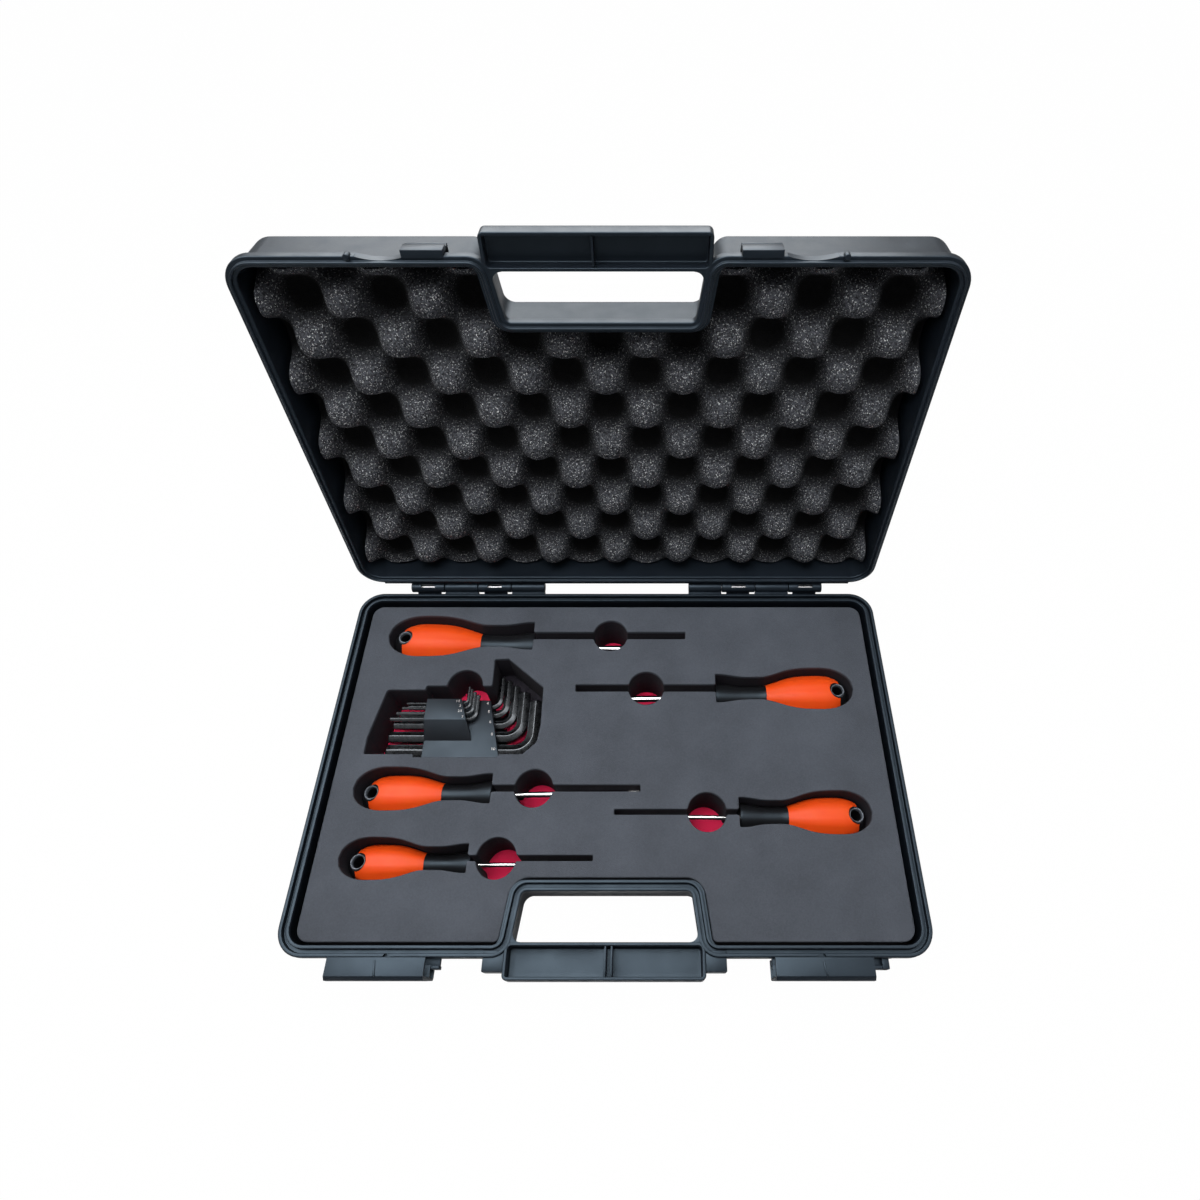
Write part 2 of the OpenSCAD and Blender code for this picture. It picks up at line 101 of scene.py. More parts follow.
def rounded_path(points: Sequence[Point], radii: Sequence[float], closed: bool = True,
                 step: float = 9.0) -> list[Point]:
    """Rounds the corners of a path.

    Args:
        points: the path's corners.
        radii: a radius for each corner; 0 leaves it sharp.
        closed: whether the last corner joins the first.
        step: the largest turn of one piece of an arc, in degrees.

    Returns:
        The path's points, with an arc in place of each rounded corner.
    """
    path: list[Point] = []
    count = len(points)
    for i, (corner, radius) in enumerate(zip(points, radii)):
        if radius <= 0 or (not closed and i in (0, count - 1)):
            path.append(tuple(corner))
            continue
        v = Vector(corner)
        to_last = (Vector(points[i - 1]) - v).normalized()
        to_next = (Vector(points[(i + 1) % count]) - v).normalized()
        half = to_last.angle(to_next) / 2
        centre = v + (to_last + to_next).normalized() * radius / math.sin(half)
        first = v + to_last * radius / math.tan(half) - centre
        last = v + to_next * radius / math.tan(half) - centre
        start = math.atan2(first.y, first.x)
        sweep = (math.atan2(last.y, last.x) - start + 3 * math.pi) % (2 * math.pi) - math.pi
        steps = max(2, math.ceil(abs(math.degrees(sweep)) / step))
        for k in range(steps + 1):
            angle = start + sweep * k / steps
            path.append((centre.x + radius * math.cos(angle), centre.y + radius * math.sin(angle)))
    return path


def offset_loop(points: Sequence[Point], distance: float) -> list[Point]:
    """Moves a closed loop's points outwards (or inwards) by a small distance."""
    area = sum(points[i - 1][0] * p[1] - p[0] * points[i - 1][1] for i, p in enumerate(points))
    turn = 1 if area > 0 else -1
    moved: list[Point] = []
    for i, point in enumerate(points):
        before, here = Vector(points[i - 1]), Vector(point)
        after = Vector(points[(i + 1) % len(points)])
        a, b = (here - before).normalized(), (after - here).normalized()
        out = Vector((a.y + b.y, -a.x - b.x)) * turn
        if out.length < 1e-6:
            out = Vector((a.y, -a.x)) * turn
        out.normalize()
        stretch = 1 / max(0.5, abs(out.dot(Vector((a.y, -a.x)))))
        here = here + out * distance * stretch
        moved.append((here.x, here.y))
    return moved


@dataclass(frozen=True)
class CaseForm:
    """The sizes that the base, the lid and the foam share."""

    width: float = BASE_HIGH.x - BASE_LOW.x
    depth: float = 253.0
    base_h: float = 49.0
    lid_h: float = 35.0
    rim_gap: float = 0.3
    corner_r: float = 17.0
    wall: float = 2.8
    wall_in: float = 3.2
    flange_h: float = 5.0
    ridge_h: float = 3.0
    notch_mouth: float = 57.5
    notch_end: float = 52.5
    notch_depth: float = 36.7
    notch_flange: float = 2.0
    mouth_r: float = 12.0
    end_r: float = 3.5
    grip_end: float = 60.0
    grip_reach: float = 12.0
    grip_d: float = 20.3
    foam_in: float = 8.9

    @property
    def front(self) -> float:
        """The rim's front edge."""
        return -self.depth / 2

    @property
    def back(self) -> float:
        """The rim's back edge."""
        return self.depth / 2

    @property
    def lid_z(self) -> float:
        """The height of the closed lid's rim."""
        return self.base_h + self.rim_gap

    def outline(self, inset: float, more: float = 0.0) -> list[Point]:
        """The case's outline moved inwards by inset, and by more inside the handle notch."""
        lean = math.atan((self.notch_mouth - self.notch_end) / self.notch_depth)
        k = (1 - math.sin(lean)) / math.cos(lean)
        x, y0, y1 = self.width / 2 - inset, self.front + inset, self.back - inset
        mouth, end = self.notch_mouth + k * inset + more, self.notch_end + k * inset + more
        y_end = self.front + self.notch_depth + inset + more / 2
        outer = max(self.corner_r - inset, 0.5)
        m, e = max(self.mouth_r - inset, 0.5), self.end_r + inset
        return rounded_path(
            [(x, y0), (x, y1), (-x, y1), (-x, y0), (-mouth, y0), (-end, y_end), (end, y_end),
             (mouth, y0)],
            [outer, outer, outer, outer, m, e, e, m], step=7)


CASE = CaseForm()


# ---- mesh building ------------------------------------------------------------------------

def ring_edges(bm: bmesh.types.BMesh,
               points: Iterable[Sequence[float]]) -> list[bmesh.types.BMEdge]:
    """Adds a closed ring of edges through the points."""
    place = bm.verts.layers.int.get("place") or bm.verts.layers.int.new("place")
    verts = [bm.verts.new(p) for p in points]
    for i, v in enumerate(verts):
        v[place] = i
    return [bm.edges.new((verts[i - 1], v)) for i, v in enumerate(verts)]


def loft(bm: bmesh.types.BMesh, rings: Sequence[Sequence[Sequence[float]]], cap_first: bool = True,
         cap_last: bool = True) -> Tuple[list, list]:
    """Joins rings of equally many points into a skin, by extruding one ring's edges to the next.

    Args:
        bm: the mesh to add to.
        rings: each ring's points, in the same order round.
        cap_first: whether to fill the first ring with a face.
        cap_last: whether to fill the last ring.

    Returns:
        The edges of the first and of the last ring.
    """
    first = edges = ring_edges(bm, rings[0])
    place = bm.verts.layers.int["place"]
    for ring in rings[1:]:
        made = bmesh.ops.extrude_edge_only(bm, edges=edges)["geom"]
        fresh = {g for g in made if isinstance(g, bmesh.types.BMVert)}
        for v in fresh:
            v.co = ring[v[place]]
        edges = [g for g in made if isinstance(g, bmesh.types.BMEdge) and fresh.issuperset(g.verts)]
    if cap_first:
        bmesh.ops.edgeloop_fill(bm, edges=first)
    if cap_last:
        bmesh.ops.edgeloop_fill(bm, edges=edges)
    return first, edges


def sharp_edges(bm: bmesh.types.BMesh, degrees: float = 25.0) -> list[bmesh.types.BMEdge]:
    """The edges whose faces meet at more than an angle."""
    limit = math.radians(degrees)
    return [e for e in bm.edges if len(e.link_faces) == 2 and e.calc_face_angle(0.0) > limit]


def ease_edges(bm: bmesh.types.BMesh, width: float, segments: int = 2,
               degrees: float = 25.0) -> None:
    """Rounds a shape's sharp edges."""
    if width > 0:
        bmesh.ops.bevel(bm, geom=sharp_edges(bm, degrees), offset=width, offset_type="OFFSET",
                        segments=segments, profile=0.5, affect="EDGES", clamp_overlap=True,
                        material=-1)


def soft_box(low: Sequence[float], high: Sequence[float], edge: float = 0.4,
             segments: int = 2) -> bmesh.types.BMesh:
    """A box between two corners, with eased edges."""
    bm = bmesh.new()
    size = Vector(high) - Vector(low)
    bmesh.ops.create_cube(bm, size=1)
    bmesh.ops.scale(bm, vec=size, verts=bm.verts)
    bmesh.ops.translate(bm, vec=Vector(low) + size / 2, verts=bm.verts)
    ease_edges(bm, edge, segments)
    return bm


def prism(section: Sequence[Point], length: float, edge: float = 0.3,
          segments: int = 2) -> bmesh.types.BMesh:
    """A section drawn in X and Y, extruded up by a length, with eased edges."""
    bm = bmesh.new()
    face = bm.faces.new([bm.verts.new((x, y, 0)) for x, y in section])
    made = bmesh.ops.extrude_face_region(bm, geom=[face])["geom"]
    bmesh.ops.translate(bm, vec=(0, 0, length),
                        verts=[g for g in made if isinstance(g, bmesh.types.BMVert)])
    bmesh.ops.recalc_face_normals(bm, faces=bm.faces)
    ease_edges(bm, edge, segments)
    return bm


def rod(radius: float, length: float, edge: float = 0.2, segments: int = 40,
        tip_radius: Optional[float] = None) -> bmesh.types.BMesh:
    """A round bar from the origin along +Z."""
    bm = bmesh.new()
    bmesh.ops.create_cone(bm, cap_ends=True, segments=segments, radius1=radius,
                          radius2=radius if tip_radius is None else tip_radius, depth=length)
    bmesh.ops.translate(bm, vec=(0, 0, length / 2), verts=bm.verts)
    ease_edges(bm, edge, 2, 40)
    return bm


def lathe(profile: Sequence[Point], steps: int = 64, closed: bool = False) -> bmesh.types.BMesh:
    """Spins a profile of (distance along X, radius) round the X axis."""
    bm = bmesh.new()
    verts = [bm.verts.new((x, r, 0)) for x, r in profile]
    edges = [bm.edges.new(pair) for pair in zip(verts, verts[1:] + verts[:1] * closed)]
    bmesh.ops.spin(bm, geom=verts + edges, cent=(0, 0, 0), axis=(1, 0, 0), angle=2 * math.pi,
                   steps=steps, use_merge=True, use_duplicate=False)
    bmesh.ops.remove_doubles(bm, verts=bm.verts, dist=1e-4)
    bmesh.ops.recalc_face_normals(bm, faces=bm.faces)
    return bm


# Takes a prism's own X to Y, its Y to Z and its length to X.
ALONG_X = Matrix(((0, 0, 1, 0), (1, 0, 0, 0), (0, 1, 0, 0), (0, 0, 0, 1)))


@dataclass
class Moulding:
    """One finished piece, gathered from closed shapes in millimetres."""

    name: str
    bm: bmesh.types.BMesh = field(default_factory=bmesh.new)

    def add(self, part: bmesh.types.BMesh, at: Matrix = IDENTITY) -> "Moulding":
        """Takes in a closed shape, moved by a matrix.

        Args:
            part: the shape; it is freed.
            at: where it goes.

        Returns:
            The moulding itself.
        """
        bmesh.ops.transform(part, matrix=at, verts=part.verts)
        if at.determinant() < 0:
            bmesh.ops.reverse_faces(part, faces=part.faces)
        mesh = bpy.data.meshes.new("part")
        part.to_mesh(mesh)
        part.free()
        self.bm.from_mesh(mesh)
        bpy.data.meshes.remove(mesh)
        return self

    def carve(self, cutter: "Moulding", operation: str = "DIFFERENCE") -> "Moulding":
        """Cuts another moulding's shape out of this one, or keeps what they share."""
        target, tool = self._object(), cutter._object()
        cut = target.modifiers.new("cut", "BOOLEAN")
        cut.operation = operation
        cut.solver = "EXACT"
        cut.use_self = True
        cut.object = tool
        bpy.context.view_layer.update()
        mesh = bpy.data.meshes.new_from_object(target.evaluated_get(bpy.context.evaluated_depsgraph_get()))
        self.bm.clear()
        self.bm.from_mesh(mesh)
        for obj in (target, tool):
            old = obj.data
            bpy.data.objects.remove(obj)
            bpy.data.meshes.remove(old)
        bpy.data.meshes.remove(mesh)
        return self

    def _object(self) -> bpy.types.Object:
        """The moulding as a scratch object, still in millimetres."""
        mesh = bpy.data.meshes.new(self.name + "_scratch")
        self.bm.to_mesh(mesh)
        obj = bpy.data.objects.new(self.name + "_scratch", mesh)
        bpy.context.scene.collection.objects.link(obj)
        return obj

    def finish(self, body: str, finish: "Finish", slot: str, nodes: Sequence[str] = (),
               at: Matrix = IDENTITY, crease: float = 32.0) -> bpy.types.Object:
        """Turns the gathered mesh into a piece of the object.

        Args:
            body: the CAD body it rides on.
            finish: its material.
            slot: the record's material slot; not used.
            nodes: the CAD nodes it stands for.
            at: a last move, in millimetres, such as the lid's swing.
            crease: faces that meet at more than this angle keep a crisp edge.

        Returns:
            The finished object.
        """
        bmesh.ops.transform(self.bm, matrix=TO_METRES @ at, verts=self.bm.verts)
        mesh = bpy.data.meshes.new(self.name)
        self.bm.to_mesh(mesh)
        self.bm.free()
        mesh.polygons.foreach_set("use_smooth", [True] * len(mesh.polygons))
        mesh.set_sharp_from_angle(angle=math.radians(crease))
        obj = bpy.data.objects.new(self.name, mesh)
        bpy.context.scene.collection.objects.link(obj)
        mesh.materials.append(finish.material())
        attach(obj, body)
        if nodes:
            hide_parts(*nodes)
        log.info("%s: %d faces on %s", self.name, len(mesh.polygons), body)
        return obj


# ---- finishes -----------------------------------------------------------------------------

Colour = Tuple[float, float, float]


def shade(red: int, green: int, blue: int) -> Colour:
    """A colour given as screen values from 0 to 255, in the shader's linear values."""
    def linear(value: int) -> float:
        """One channel."""
        c = value / 255
        return c / 12.92 if c <= 0.04045 else ((c + 0.055) / 1.055) ** 2.4
    return linear(red), linear(green), linear(blue)


class Sketch:
    """A material's node tree, built in short calls; lengths are millimetres."""

    def __init__(self, name: str, colour: Colour, roughness: float, **sockets: object) -> None:
        """Starts a Principled material.

        Args:
            name: the material's name.
            colour: its base colour.
            roughness: its roughness.
            sockets: other socket values, with underscores for spaces.
        """
        self.material = bpy.data.materials.new(name)
        self.material.use_nodes = True
        self.material.diffuse_color = (*colour, 1)
        self.tree = self.material.node_tree
        self.shader = self.tree.nodes["Principled BSDF"]
        self.shader.inputs["Base Color"].default_value = (*colour, 1)
        self.shader.inputs["Roughness"].default_value = roughness
        for socket, value in sockets.items():
            self.shader.inputs[socket.replace("_", " ")].default_value = value
        self.coords = self.tree.nodes.new("ShaderNodeTexCoord").outputs["Object"]

    def node(self, kind: str, links: dict, **settings: object) -> bpy.types.Node:
        """Adds a node, sets it and feeds its sockets.

        Args:
            kind: the node's type.
            links: for each input's name or number, a value or another node's output.
            settings: the node's own properties.

        Returns:
            The node.
        """
        node = self.tree.nodes.new(kind)
        for key, value in settings.items():
            setattr(node, key, value)
        for key, value in links.items():
            if isinstance(value, bpy.types.NodeSocket):
                self.tree.links.new(value, node.inputs[key])
            else:
                node.inputs[key].default_value = value
        return node

    def stretched(self, scale: Tuple[float, float, float]) -> bpy.types.NodeSocket:
        """Object coordinates, scaled unevenly."""
        return self.node("ShaderNodeMapping", {"Vector": self.coords, "Scale": scale}).outputs[0]

    def noise(self, size: float, detail: float = 2.0, vector: Optional[bpy.types.NodeSocket] = None,
              roughness: float = 0.5) -> bpy.types.NodeSocket:
        """Noise whose features are about size millimetres across."""
        return self.node("ShaderNodeTexNoise",
                         {"Vector": vector or self.coords, "Scale": 1 / (size * MM),
                                                "Detail": detail,
                                                "Roughness": roughness}).outputs["Fac"]

    def cells(self, size: float, output: str = "Distance",
              **settings: object) -> bpy.types.NodeSocket:
        """Voronoi cells about size millimetres across."""
        return self.node("ShaderNodeTexVoronoi", {"Vector": self.coords, "Scale": 1 / (size * MM)},
                         **settings).outputs[output]

    def remap(self, value: bpy.types.NodeSocket, low: float, high: float, from_low: float = 0.3,
              from_high: float = 0.7) -> bpy.types.NodeSocket:
        """Spreads a value over a new range."""
        return self.node("ShaderNodeMapRange",
                         {0: value, 1: from_low, 2: from_high, 3: low, 4: high}).outputs[0]

    def mixed(self, factor: bpy.types.NodeSocket, a: object, b: object) -> bpy.types.NodeSocket:
        """A colour between a and b."""
        a = (*a, 1) if isinstance(a, tuple) else a
        b = (*b, 1) if isinstance(b, tuple) else b
        return self.node("ShaderNodeMix", {0: factor, 6: a, 7: b}, data_type="RGBA").outputs[2]

    def added(self, a: bpy.types.NodeSocket, b: bpy.types.NodeSocket,
              share: float = 1.0) -> bpy.types.NodeSocket:
        """a plus a share of b."""
        return self.node("ShaderNodeMath", {0: b, 1: share, 2: a},
                         operation="MULTIPLY_ADD").outputs[0]

    def colour(self, value: bpy.types.NodeSocket) -> None:
        """Feeds the base colour."""
        self.tree.links.new(value, self.shader.inputs["Base Color"])

    def roughness(self, value: bpy.types.NodeSocket) -> None:
        """Feeds the roughness."""
        self.tree.links.new(value, self.shader.inputs["Roughness"])

    def bump(self, height: bpy.types.NodeSocket, depth: float, strength: float = 1.0) -> None:
        """Feeds the normal from a height that spans depth millimetres."""
        node = self.node("ShaderNodeBump",
                         {"Height": height, "Distance": depth * MM, "Strength": strength})
        self.tree.links.new(node.outputs[0], self.shader.inputs["Normal"])


@dataclass(frozen=True)
class Finish:
    """A finish, which makes its material the first time it is asked for."""

    name: str
    colour: Colour
    roughness: float

    def material(self) -> bpy.types.Material:
        """The finish's material."""
        return bpy.data.materials.get(self.name) or self.build()

    def build(self) -> bpy.types.Material:
        """Makes the material."""
        raise NotImplementedError


@dataclass(frozen=True)
class MouldedPlastic(Finish):
    """Polypropylene from a spark-eroded mould: a fine even grain with a soft sheen."""

    grain: float = 0.45
    depth: float = 0.02
    sheen: float = 0.06
    shine: float = 0.36
    tint: Colour = (0.62, 0.82, 1.0)

    def build(self) -> bpy.types.Material:
        """Makes the material."""
        s = Sketch(self.name, self.colour, self.roughness, Specular_IOR_Level=self.shine,
                   Specular_Tint=(*self.tint, 1))
        cloud = s.noise(38, 3)
        dark = tuple(c * 0.82 for c in self.colour)
        light = tuple(c * 1.2 for c in self.colour)
        s.colour(s.mixed(s.remap(cloud, 0, 1), dark, light))
        s.roughness(s.remap(s.noise(14, 4), self.roughness - self.sheen,
                            self.roughness + self.sheen))
        s.bump(s.added(s.noise(self.grain, 2), s.cells(self.grain * 2.2), 0.4), self.depth)
        return s.material


@dataclass(frozen=True)
class ClosedCellFoam(Finish):
    """Cut polyethylene foam: a flat matt skin of fine closed cells."""

    cell: float = 0.55
    depth: float = 0.05
    spread: float = 0.10
    # wall: an optional darker colour, painted shade for the cut walls below the top face.
    wall: Optional[Colour] = None
    top: float = 43.3

    def build(self) -> bpy.types.Material:
        """Makes the material."""
        s = Sketch(self.name, self.colour, self.roughness, Specular_IOR_Level=0.25)
        dark = tuple(c * (1 - self.spread) for c in self.colour)
        light = tuple(c * (1 + self.spread) for c in self.colour)
        mottle = s.added(s.noise(30, 4), s.noise(1.1, 3), 0.6)
        skin = s.mixed(s.remap(mottle, 0, 1, 0.55, 1.05), dark, light)
        if self.wall:
            # Painted shade: from 0.5 mm below the top face the colour fades to the wall colour, which it
            # reaches 3.5 mm down.
            z = s.node("ShaderNodeSeparateXYZ", {0: s.coords}).outputs["Z"]
            painted_shade_mask = s.remap(z, 1, 0, (self.top - 3.5) * MM, (self.top - 0.5) * MM)
            skin = s.mixed(painted_shade_mask, skin, self.wall)
        s.colour(skin)
        s.roughness(s.remap(s.noise(3, 2), self.roughness - 0.05, self.roughness + 0.03))
        s.bump(s.added(s.cells(self.cell), s.noise(0.3, 2), 0.5), self.depth)
        return s.material


@dataclass(frozen=True)
class OpenCellFoam(Finish):
    """Convoluted polyurethane foam: a crumbly surface whose cut cells catch the light, shown as painted glints.
    """

    cell: float = 0.8
    # The bright speck colour below is a painted highlight for light caught by cut cells.
    painted_glint: Colour = (0.62, 0.64, 0.64)
    # near and far: how deep behind the rim, in millimetres, the painted shade in the hollows starts and where
    # it is full.
    near: float = 10.0
    far: float = 22.5

    def build(self) -> bpy.types.Material:
        """Makes the material, darkened by painted shade the deeper it lies behind the lid's rim."""
        s = Sketch(self.name, self.colour, self.roughness, Specular_IOR_Level=0.15)
        dark = tuple(c * 0.35 for c in self.colour)
        light = tuple(c * 1.8 for c in self.colour)
        base = s.mixed(s.remap(s.noise(1.4, 3), 0, 1, 0.34, 0.66), dark, light)
        # Painted highlight: sparse specks mixed towards the bright speck colour.
        spark = s.remap(s.noise(0.95, 1, roughness=0.7), 0, 1, 0.62, 0.69)
        facing = (OPENED.to_3x3() @ Vector((0, 0, 1))).normalized()
        rim = (OPENED @ Vector((0, 0, CASE.lid_z))).dot(facing) * MM
        along = s.node("ShaderNodeVectorMath", {0: s.coords, 1: facing},
                       operation="DOT_PRODUCT").outputs["Value"]
        # Painted shade: the colour falls to near black between near and far behind the rim, deep in the
        # hollows.
        depth = s.remap(along, 0, 1, rim + self.near * MM, rim + self.far * MM)
        s.colour(s.mixed(depth, s.mixed(spark, base, self.painted_glint),
                         tuple(c * 0.06 for c in self.colour)))
        s.bump(s.added(s.cells(self.cell), s.noise(0.5, 3), 0.8), 0.35)
        return s.material


@dataclass(frozen=True)
class Metal(Finish):
    """Steel, plated or blackened, with faint marks drawn along one axis."""

    stretch: Tuple[float, float, float] = (0.04, 1.0, 1.0)
    depth: float = 0.004
    metallic: float = 1.0

    def build(self) -> bpy.types.Material:
        """Makes the material."""
        s = Sketch(self.name, self.colour, self.roughness, Metallic=self.metallic)
        along = s.stretched(self.stretch)
        marks = s.noise(0.35, 3, along)
        dark = tuple(c * 0.85 for c in self.colour)
        s.colour(s.mixed(s.remap(s.noise(6, 3), 0, 1), dark, self.colour))
        s.roughness(s.remap(s.added(marks, s.noise(4, 3), 0.7), self.roughness * 0.75,
                            self.roughness * 1.3,
                            0.6, 1.1))
        s.bump(marks, self.depth)
        return s.material


@dataclass(frozen=True)
class SoftGrip(Finish):
    """Moulded rubber-like plastic: even colour, dull, with a very fine grain."""

    shine: float = 0.22

    def build(self) -> bpy.types.Material:
        """Makes the material."""
        s = Sketch(self.name, self.colour, self.roughness, Specular_IOR_Level=self.shine)
        deep = tuple(c * k for c, k in zip(self.colour, (1.0, 0.86, 0.85)))
        s.colour(s.mixed(s.remap(s.noise(9, 3), 0, 1), deep, self.colour))
        s.roughness(s.remap(s.noise(2.5, 3), self.roughness - 0.06, self.roughness + 0.06))
        s.bump(s.noise(0.25, 2), 0.012)
        return s.material


CASE_PLASTIC = MouldedPlastic("moulded_case_plastic", shade(20, 25, 32), 0.40)
HANDLE_PLASTIC = MouldedPlastic("handle_plastic", shade(24, 24, 26), 0.38, grain=0.3, depth=0.008,
                                shine=0.26)
# Painted highlight: the hang hole's boss is pale grey, standing in for the shine on glossy black plastic.
PAINTED_HIGHLIGHT_PLASTIC = MouldedPlastic("bead_painted_highlight", shade(112, 119, 128), 0.22, depth=0.004,
                              tint=(1, 1, 1))
HOLDER_PLASTIC = MouldedPlastic("holder_plastic", shade(30, 30, 33), 0.45, grain=0.35, depth=0.015,
                                shine=0.4)
# The tray foam's wall colour is painted shade on its pocket walls and on the low foam below its top face.
TRAY_FOAM = ClosedCellFoam("tray_foam_grey", shade(78, 83, 92), 0.9, spread=0.16, depth=0.1,
                           wall=shade(34, 31, 39))
RED_FOAM = ClosedCellFoam("backing_foam_red", shade(255, 40, 92), 0.8, cell=0.4, spread=0.07)
LID_FOAM = OpenCellFoam("lid_foam_charcoal", shade(62, 64, 69), 0.95)
BRIGHT_STEEL = Metal("plated_steel", (0.86, 0.86, 0.87), 0.16)
PIN_STEEL = Metal("pin_steel", (0.55, 0.55, 0.56), 0.3)
BLACK_STEEL = Metal("blackened_steel", (0.10, 0.107, 0.115), 0.27, depth=0.002)
ORANGE_GRIP = SoftGrip("grip_orange", shade(255, 86, 18), 0.52)
WHITE_PRINT = SoftGrip("white_print", shade(232, 232, 230), 0.55)


# ---- the moulded case ---------------------------------------------------------------------

@dataclass
class Trough:
    """One half of the carrying handle: a rounded trough with cross ribs."""

    height: float = 13.0
    ribs: Sequence[float] = (-0.3, 3.5)
    form: CaseForm = CASE
    wall: float = 2.0
    rib_w: float = 1.2
    drop: float = 0.15

    def outline(self, inset: float) -> list[Point]:
        """The trough's outline, moved inwards."""
        f = self.form
        x, y0 = f.grip_end - inset, f.front - f.grip_reach + inset
        y1 = y0 + f.grip_d - 2 * inset
        front, back = max(3 - inset, 0.6), max(4.2 - inset, 0.6)
        return rounded_path([(-x, y0), (x, y0), (x, y1), (-x, y1)], [front, front, back, back])

    def add_to(self, piece: Moulding, h: float, at: Matrix = IDENTITY) -> None:
        """Adds the trough, open at z = h, to a shell."""
        f = self.form
        top, foot = h - self.drop, h - self.height
        profile = rounded_path([(4, foot), (0, foot), (0, top), (self.wall, top),
                                (self.wall, foot + self.wall), (self.wall + 3, foot + self.wall)],
                               [0, 1.6, 0.7, 0.5, 1.0, 0], closed=False, step=18)
        part = bmesh.new()
        loft(part, [[(x, y, z) for x, y in self.outline(inset)] for inset, z in profile])
        bmesh.ops.recalc_face_normals(part, faces=part.faces)
        piece.add(part, at)
        y0 = f.front - f.grip_reach + 1
        y1 = y0 + f.grip_d - 2
        for x in self.ribs:
            piece.add(soft_box((x, y0, foot + 1), (x + self.rib_w, y1, h - 0.9), 0.3), at)
        for side in Side:
            web = prism(self.web(), f.flange_h, 0.3)
            place = Matrix.Translation((f.grip_end, f.front - f.grip_reach + f.grip_d,
                                        top - f.flange_h))
            piece.add(web, at @ side.flip @ place)

    def web(self) -> list[Point]:
        """The hollow-curved web that joins the trough to the notch's side, from the trough's back corner."""
        return rounded_path([(-9.5, -0.6), (-1.4, -0.6), (-2.9, 7), (-4.4, 7), (-3.9, 0),
                             (-9.5, 0)],
                            [0, 0, 0, 0, 5, 0], step=12)


@dataclass
class Knuckles:
    """Every second hinge knuckle, bored for its pin, with the slot that the mould's core leaves."""

    form: CaseForm = CASE
    radius: float = 4.0
    bore: float = 1.55
    start: float = 56.0
    length: float = 26.0
    gap: float = 0.2
    slot_l: float = 11.0
    slot_h: float = 2.6

    def add_to(self, piece: Moulding, first: int, web: Tuple[float, float],
               slot_turn: float) -> None:
        """Adds one side's knuckles and their webs.

        Args:
            piece: the shell they belong to.
            first: 0 for the base, 1 for the lid, counting outwards.
            web: the web's lowest and highest z.
            slot_turn: where the slot faces, in degrees from straight up towards the back.
        """
        length = self.length - 2 * self.gap
        at_hinge = Matrix.Translation(HINGE)
        for side in Side:
            for k in (first, first + 2):
                x = self.start + k * self.length + self.gap
                barrel = Moulding("knuckle")
                section = rounded_path([(x, self.bore), (x + length, self.bore),
                                        (x + length, self.radius),
                                        (x, self.radius)], [0, 0, 0.5, 0.5], step=30)
                barrel.add(lathe(section, 40, closed=True))
                middle = x + length / 2
                slot = Moulding("slot")
                slot.add(soft_box((middle - self.slot_l / 2, -self.slot_h / 2, 0.3),
                                  (middle + self.slot_l / 2, self.slot_h / 2, self.radius + 2), 0),
                         Matrix.Rotation(-math.radians(slot_turn), 4, "X"))
                barrel.carve(slot)
                piece.add(barrel.bm, side.flip @ at_hinge)
                piece.add(soft_box((x, self.form.back - 1, web[0]),
                                   (x + length, HINGE.y - self.bore - 0.5, web[1]),
                                   0.4), side.flip)


@dataclass
class Shell:
    """What the base and the lid have in common: the moulded tray and its rim."""

    form: CaseForm = CASE
    edge_r: float = 4.0
    panel_in: float = 24.0
    panel_step: float = 0.8

    def skin(self, h: float, crown: Sequence[Tuple[float, float, float]],
             at: Matrix = IDENTITY) -> bmesh.types.BMesh:
        """The shell as one closed skin.

        Args:
            h: its height, from the closed face at z = 0 to the rim.
            crown: the rim's section from its outer edge inwards: inset, z and corner radius.
            at: where it goes.

        Returns:
            The skin.
        """
        f, p = self.form, self.panel_in
        foot, inner = h - f.flange_h, f.wall_in + f.wall
        outside = [(p + 3, self.panel_step, 0), (p + 1, self.panel_step, 0.6), (p, 0, 0.6),
                   (f.wall_in, 0, self.edge_r), (f.wall_in, foot, 0.5), (f.wall_in - 0.8, foot, 0)]
        rim = [(0.8, foot, 0), (0, foot, 0.5), *crown, (inner, h - f.ridge_h, 0)]
        inside = [(inner, h - f.ridge_h, 0), (inner, f.wall, 1.5), (12, f.wall, 0)]
        rings: list[list[Tuple[float, float, float]]] = []
        for section, more in ((outside, f.notch_flange), (rim, 0.0), (inside, f.notch_flange)):
            profile = rounded_path([(i, z) for i, z, _ in section], [r for _, _, r in section],
                                   closed=False,
                                   step=18)
            rings += [[(x, y, z) for x, y in f.outline(inset, more)] for inset, z in profile]
        bm = bmesh.new()
        loft(bm, rings)
        bmesh.ops.remove_doubles(bm, verts=bm.verts, dist=1e-4)
        bmesh.ops.transform(bm, matrix=at, verts=bm.verts)
        bmesh.ops.recalc_face_normals(bm, faces=bm.faces)
        return bm


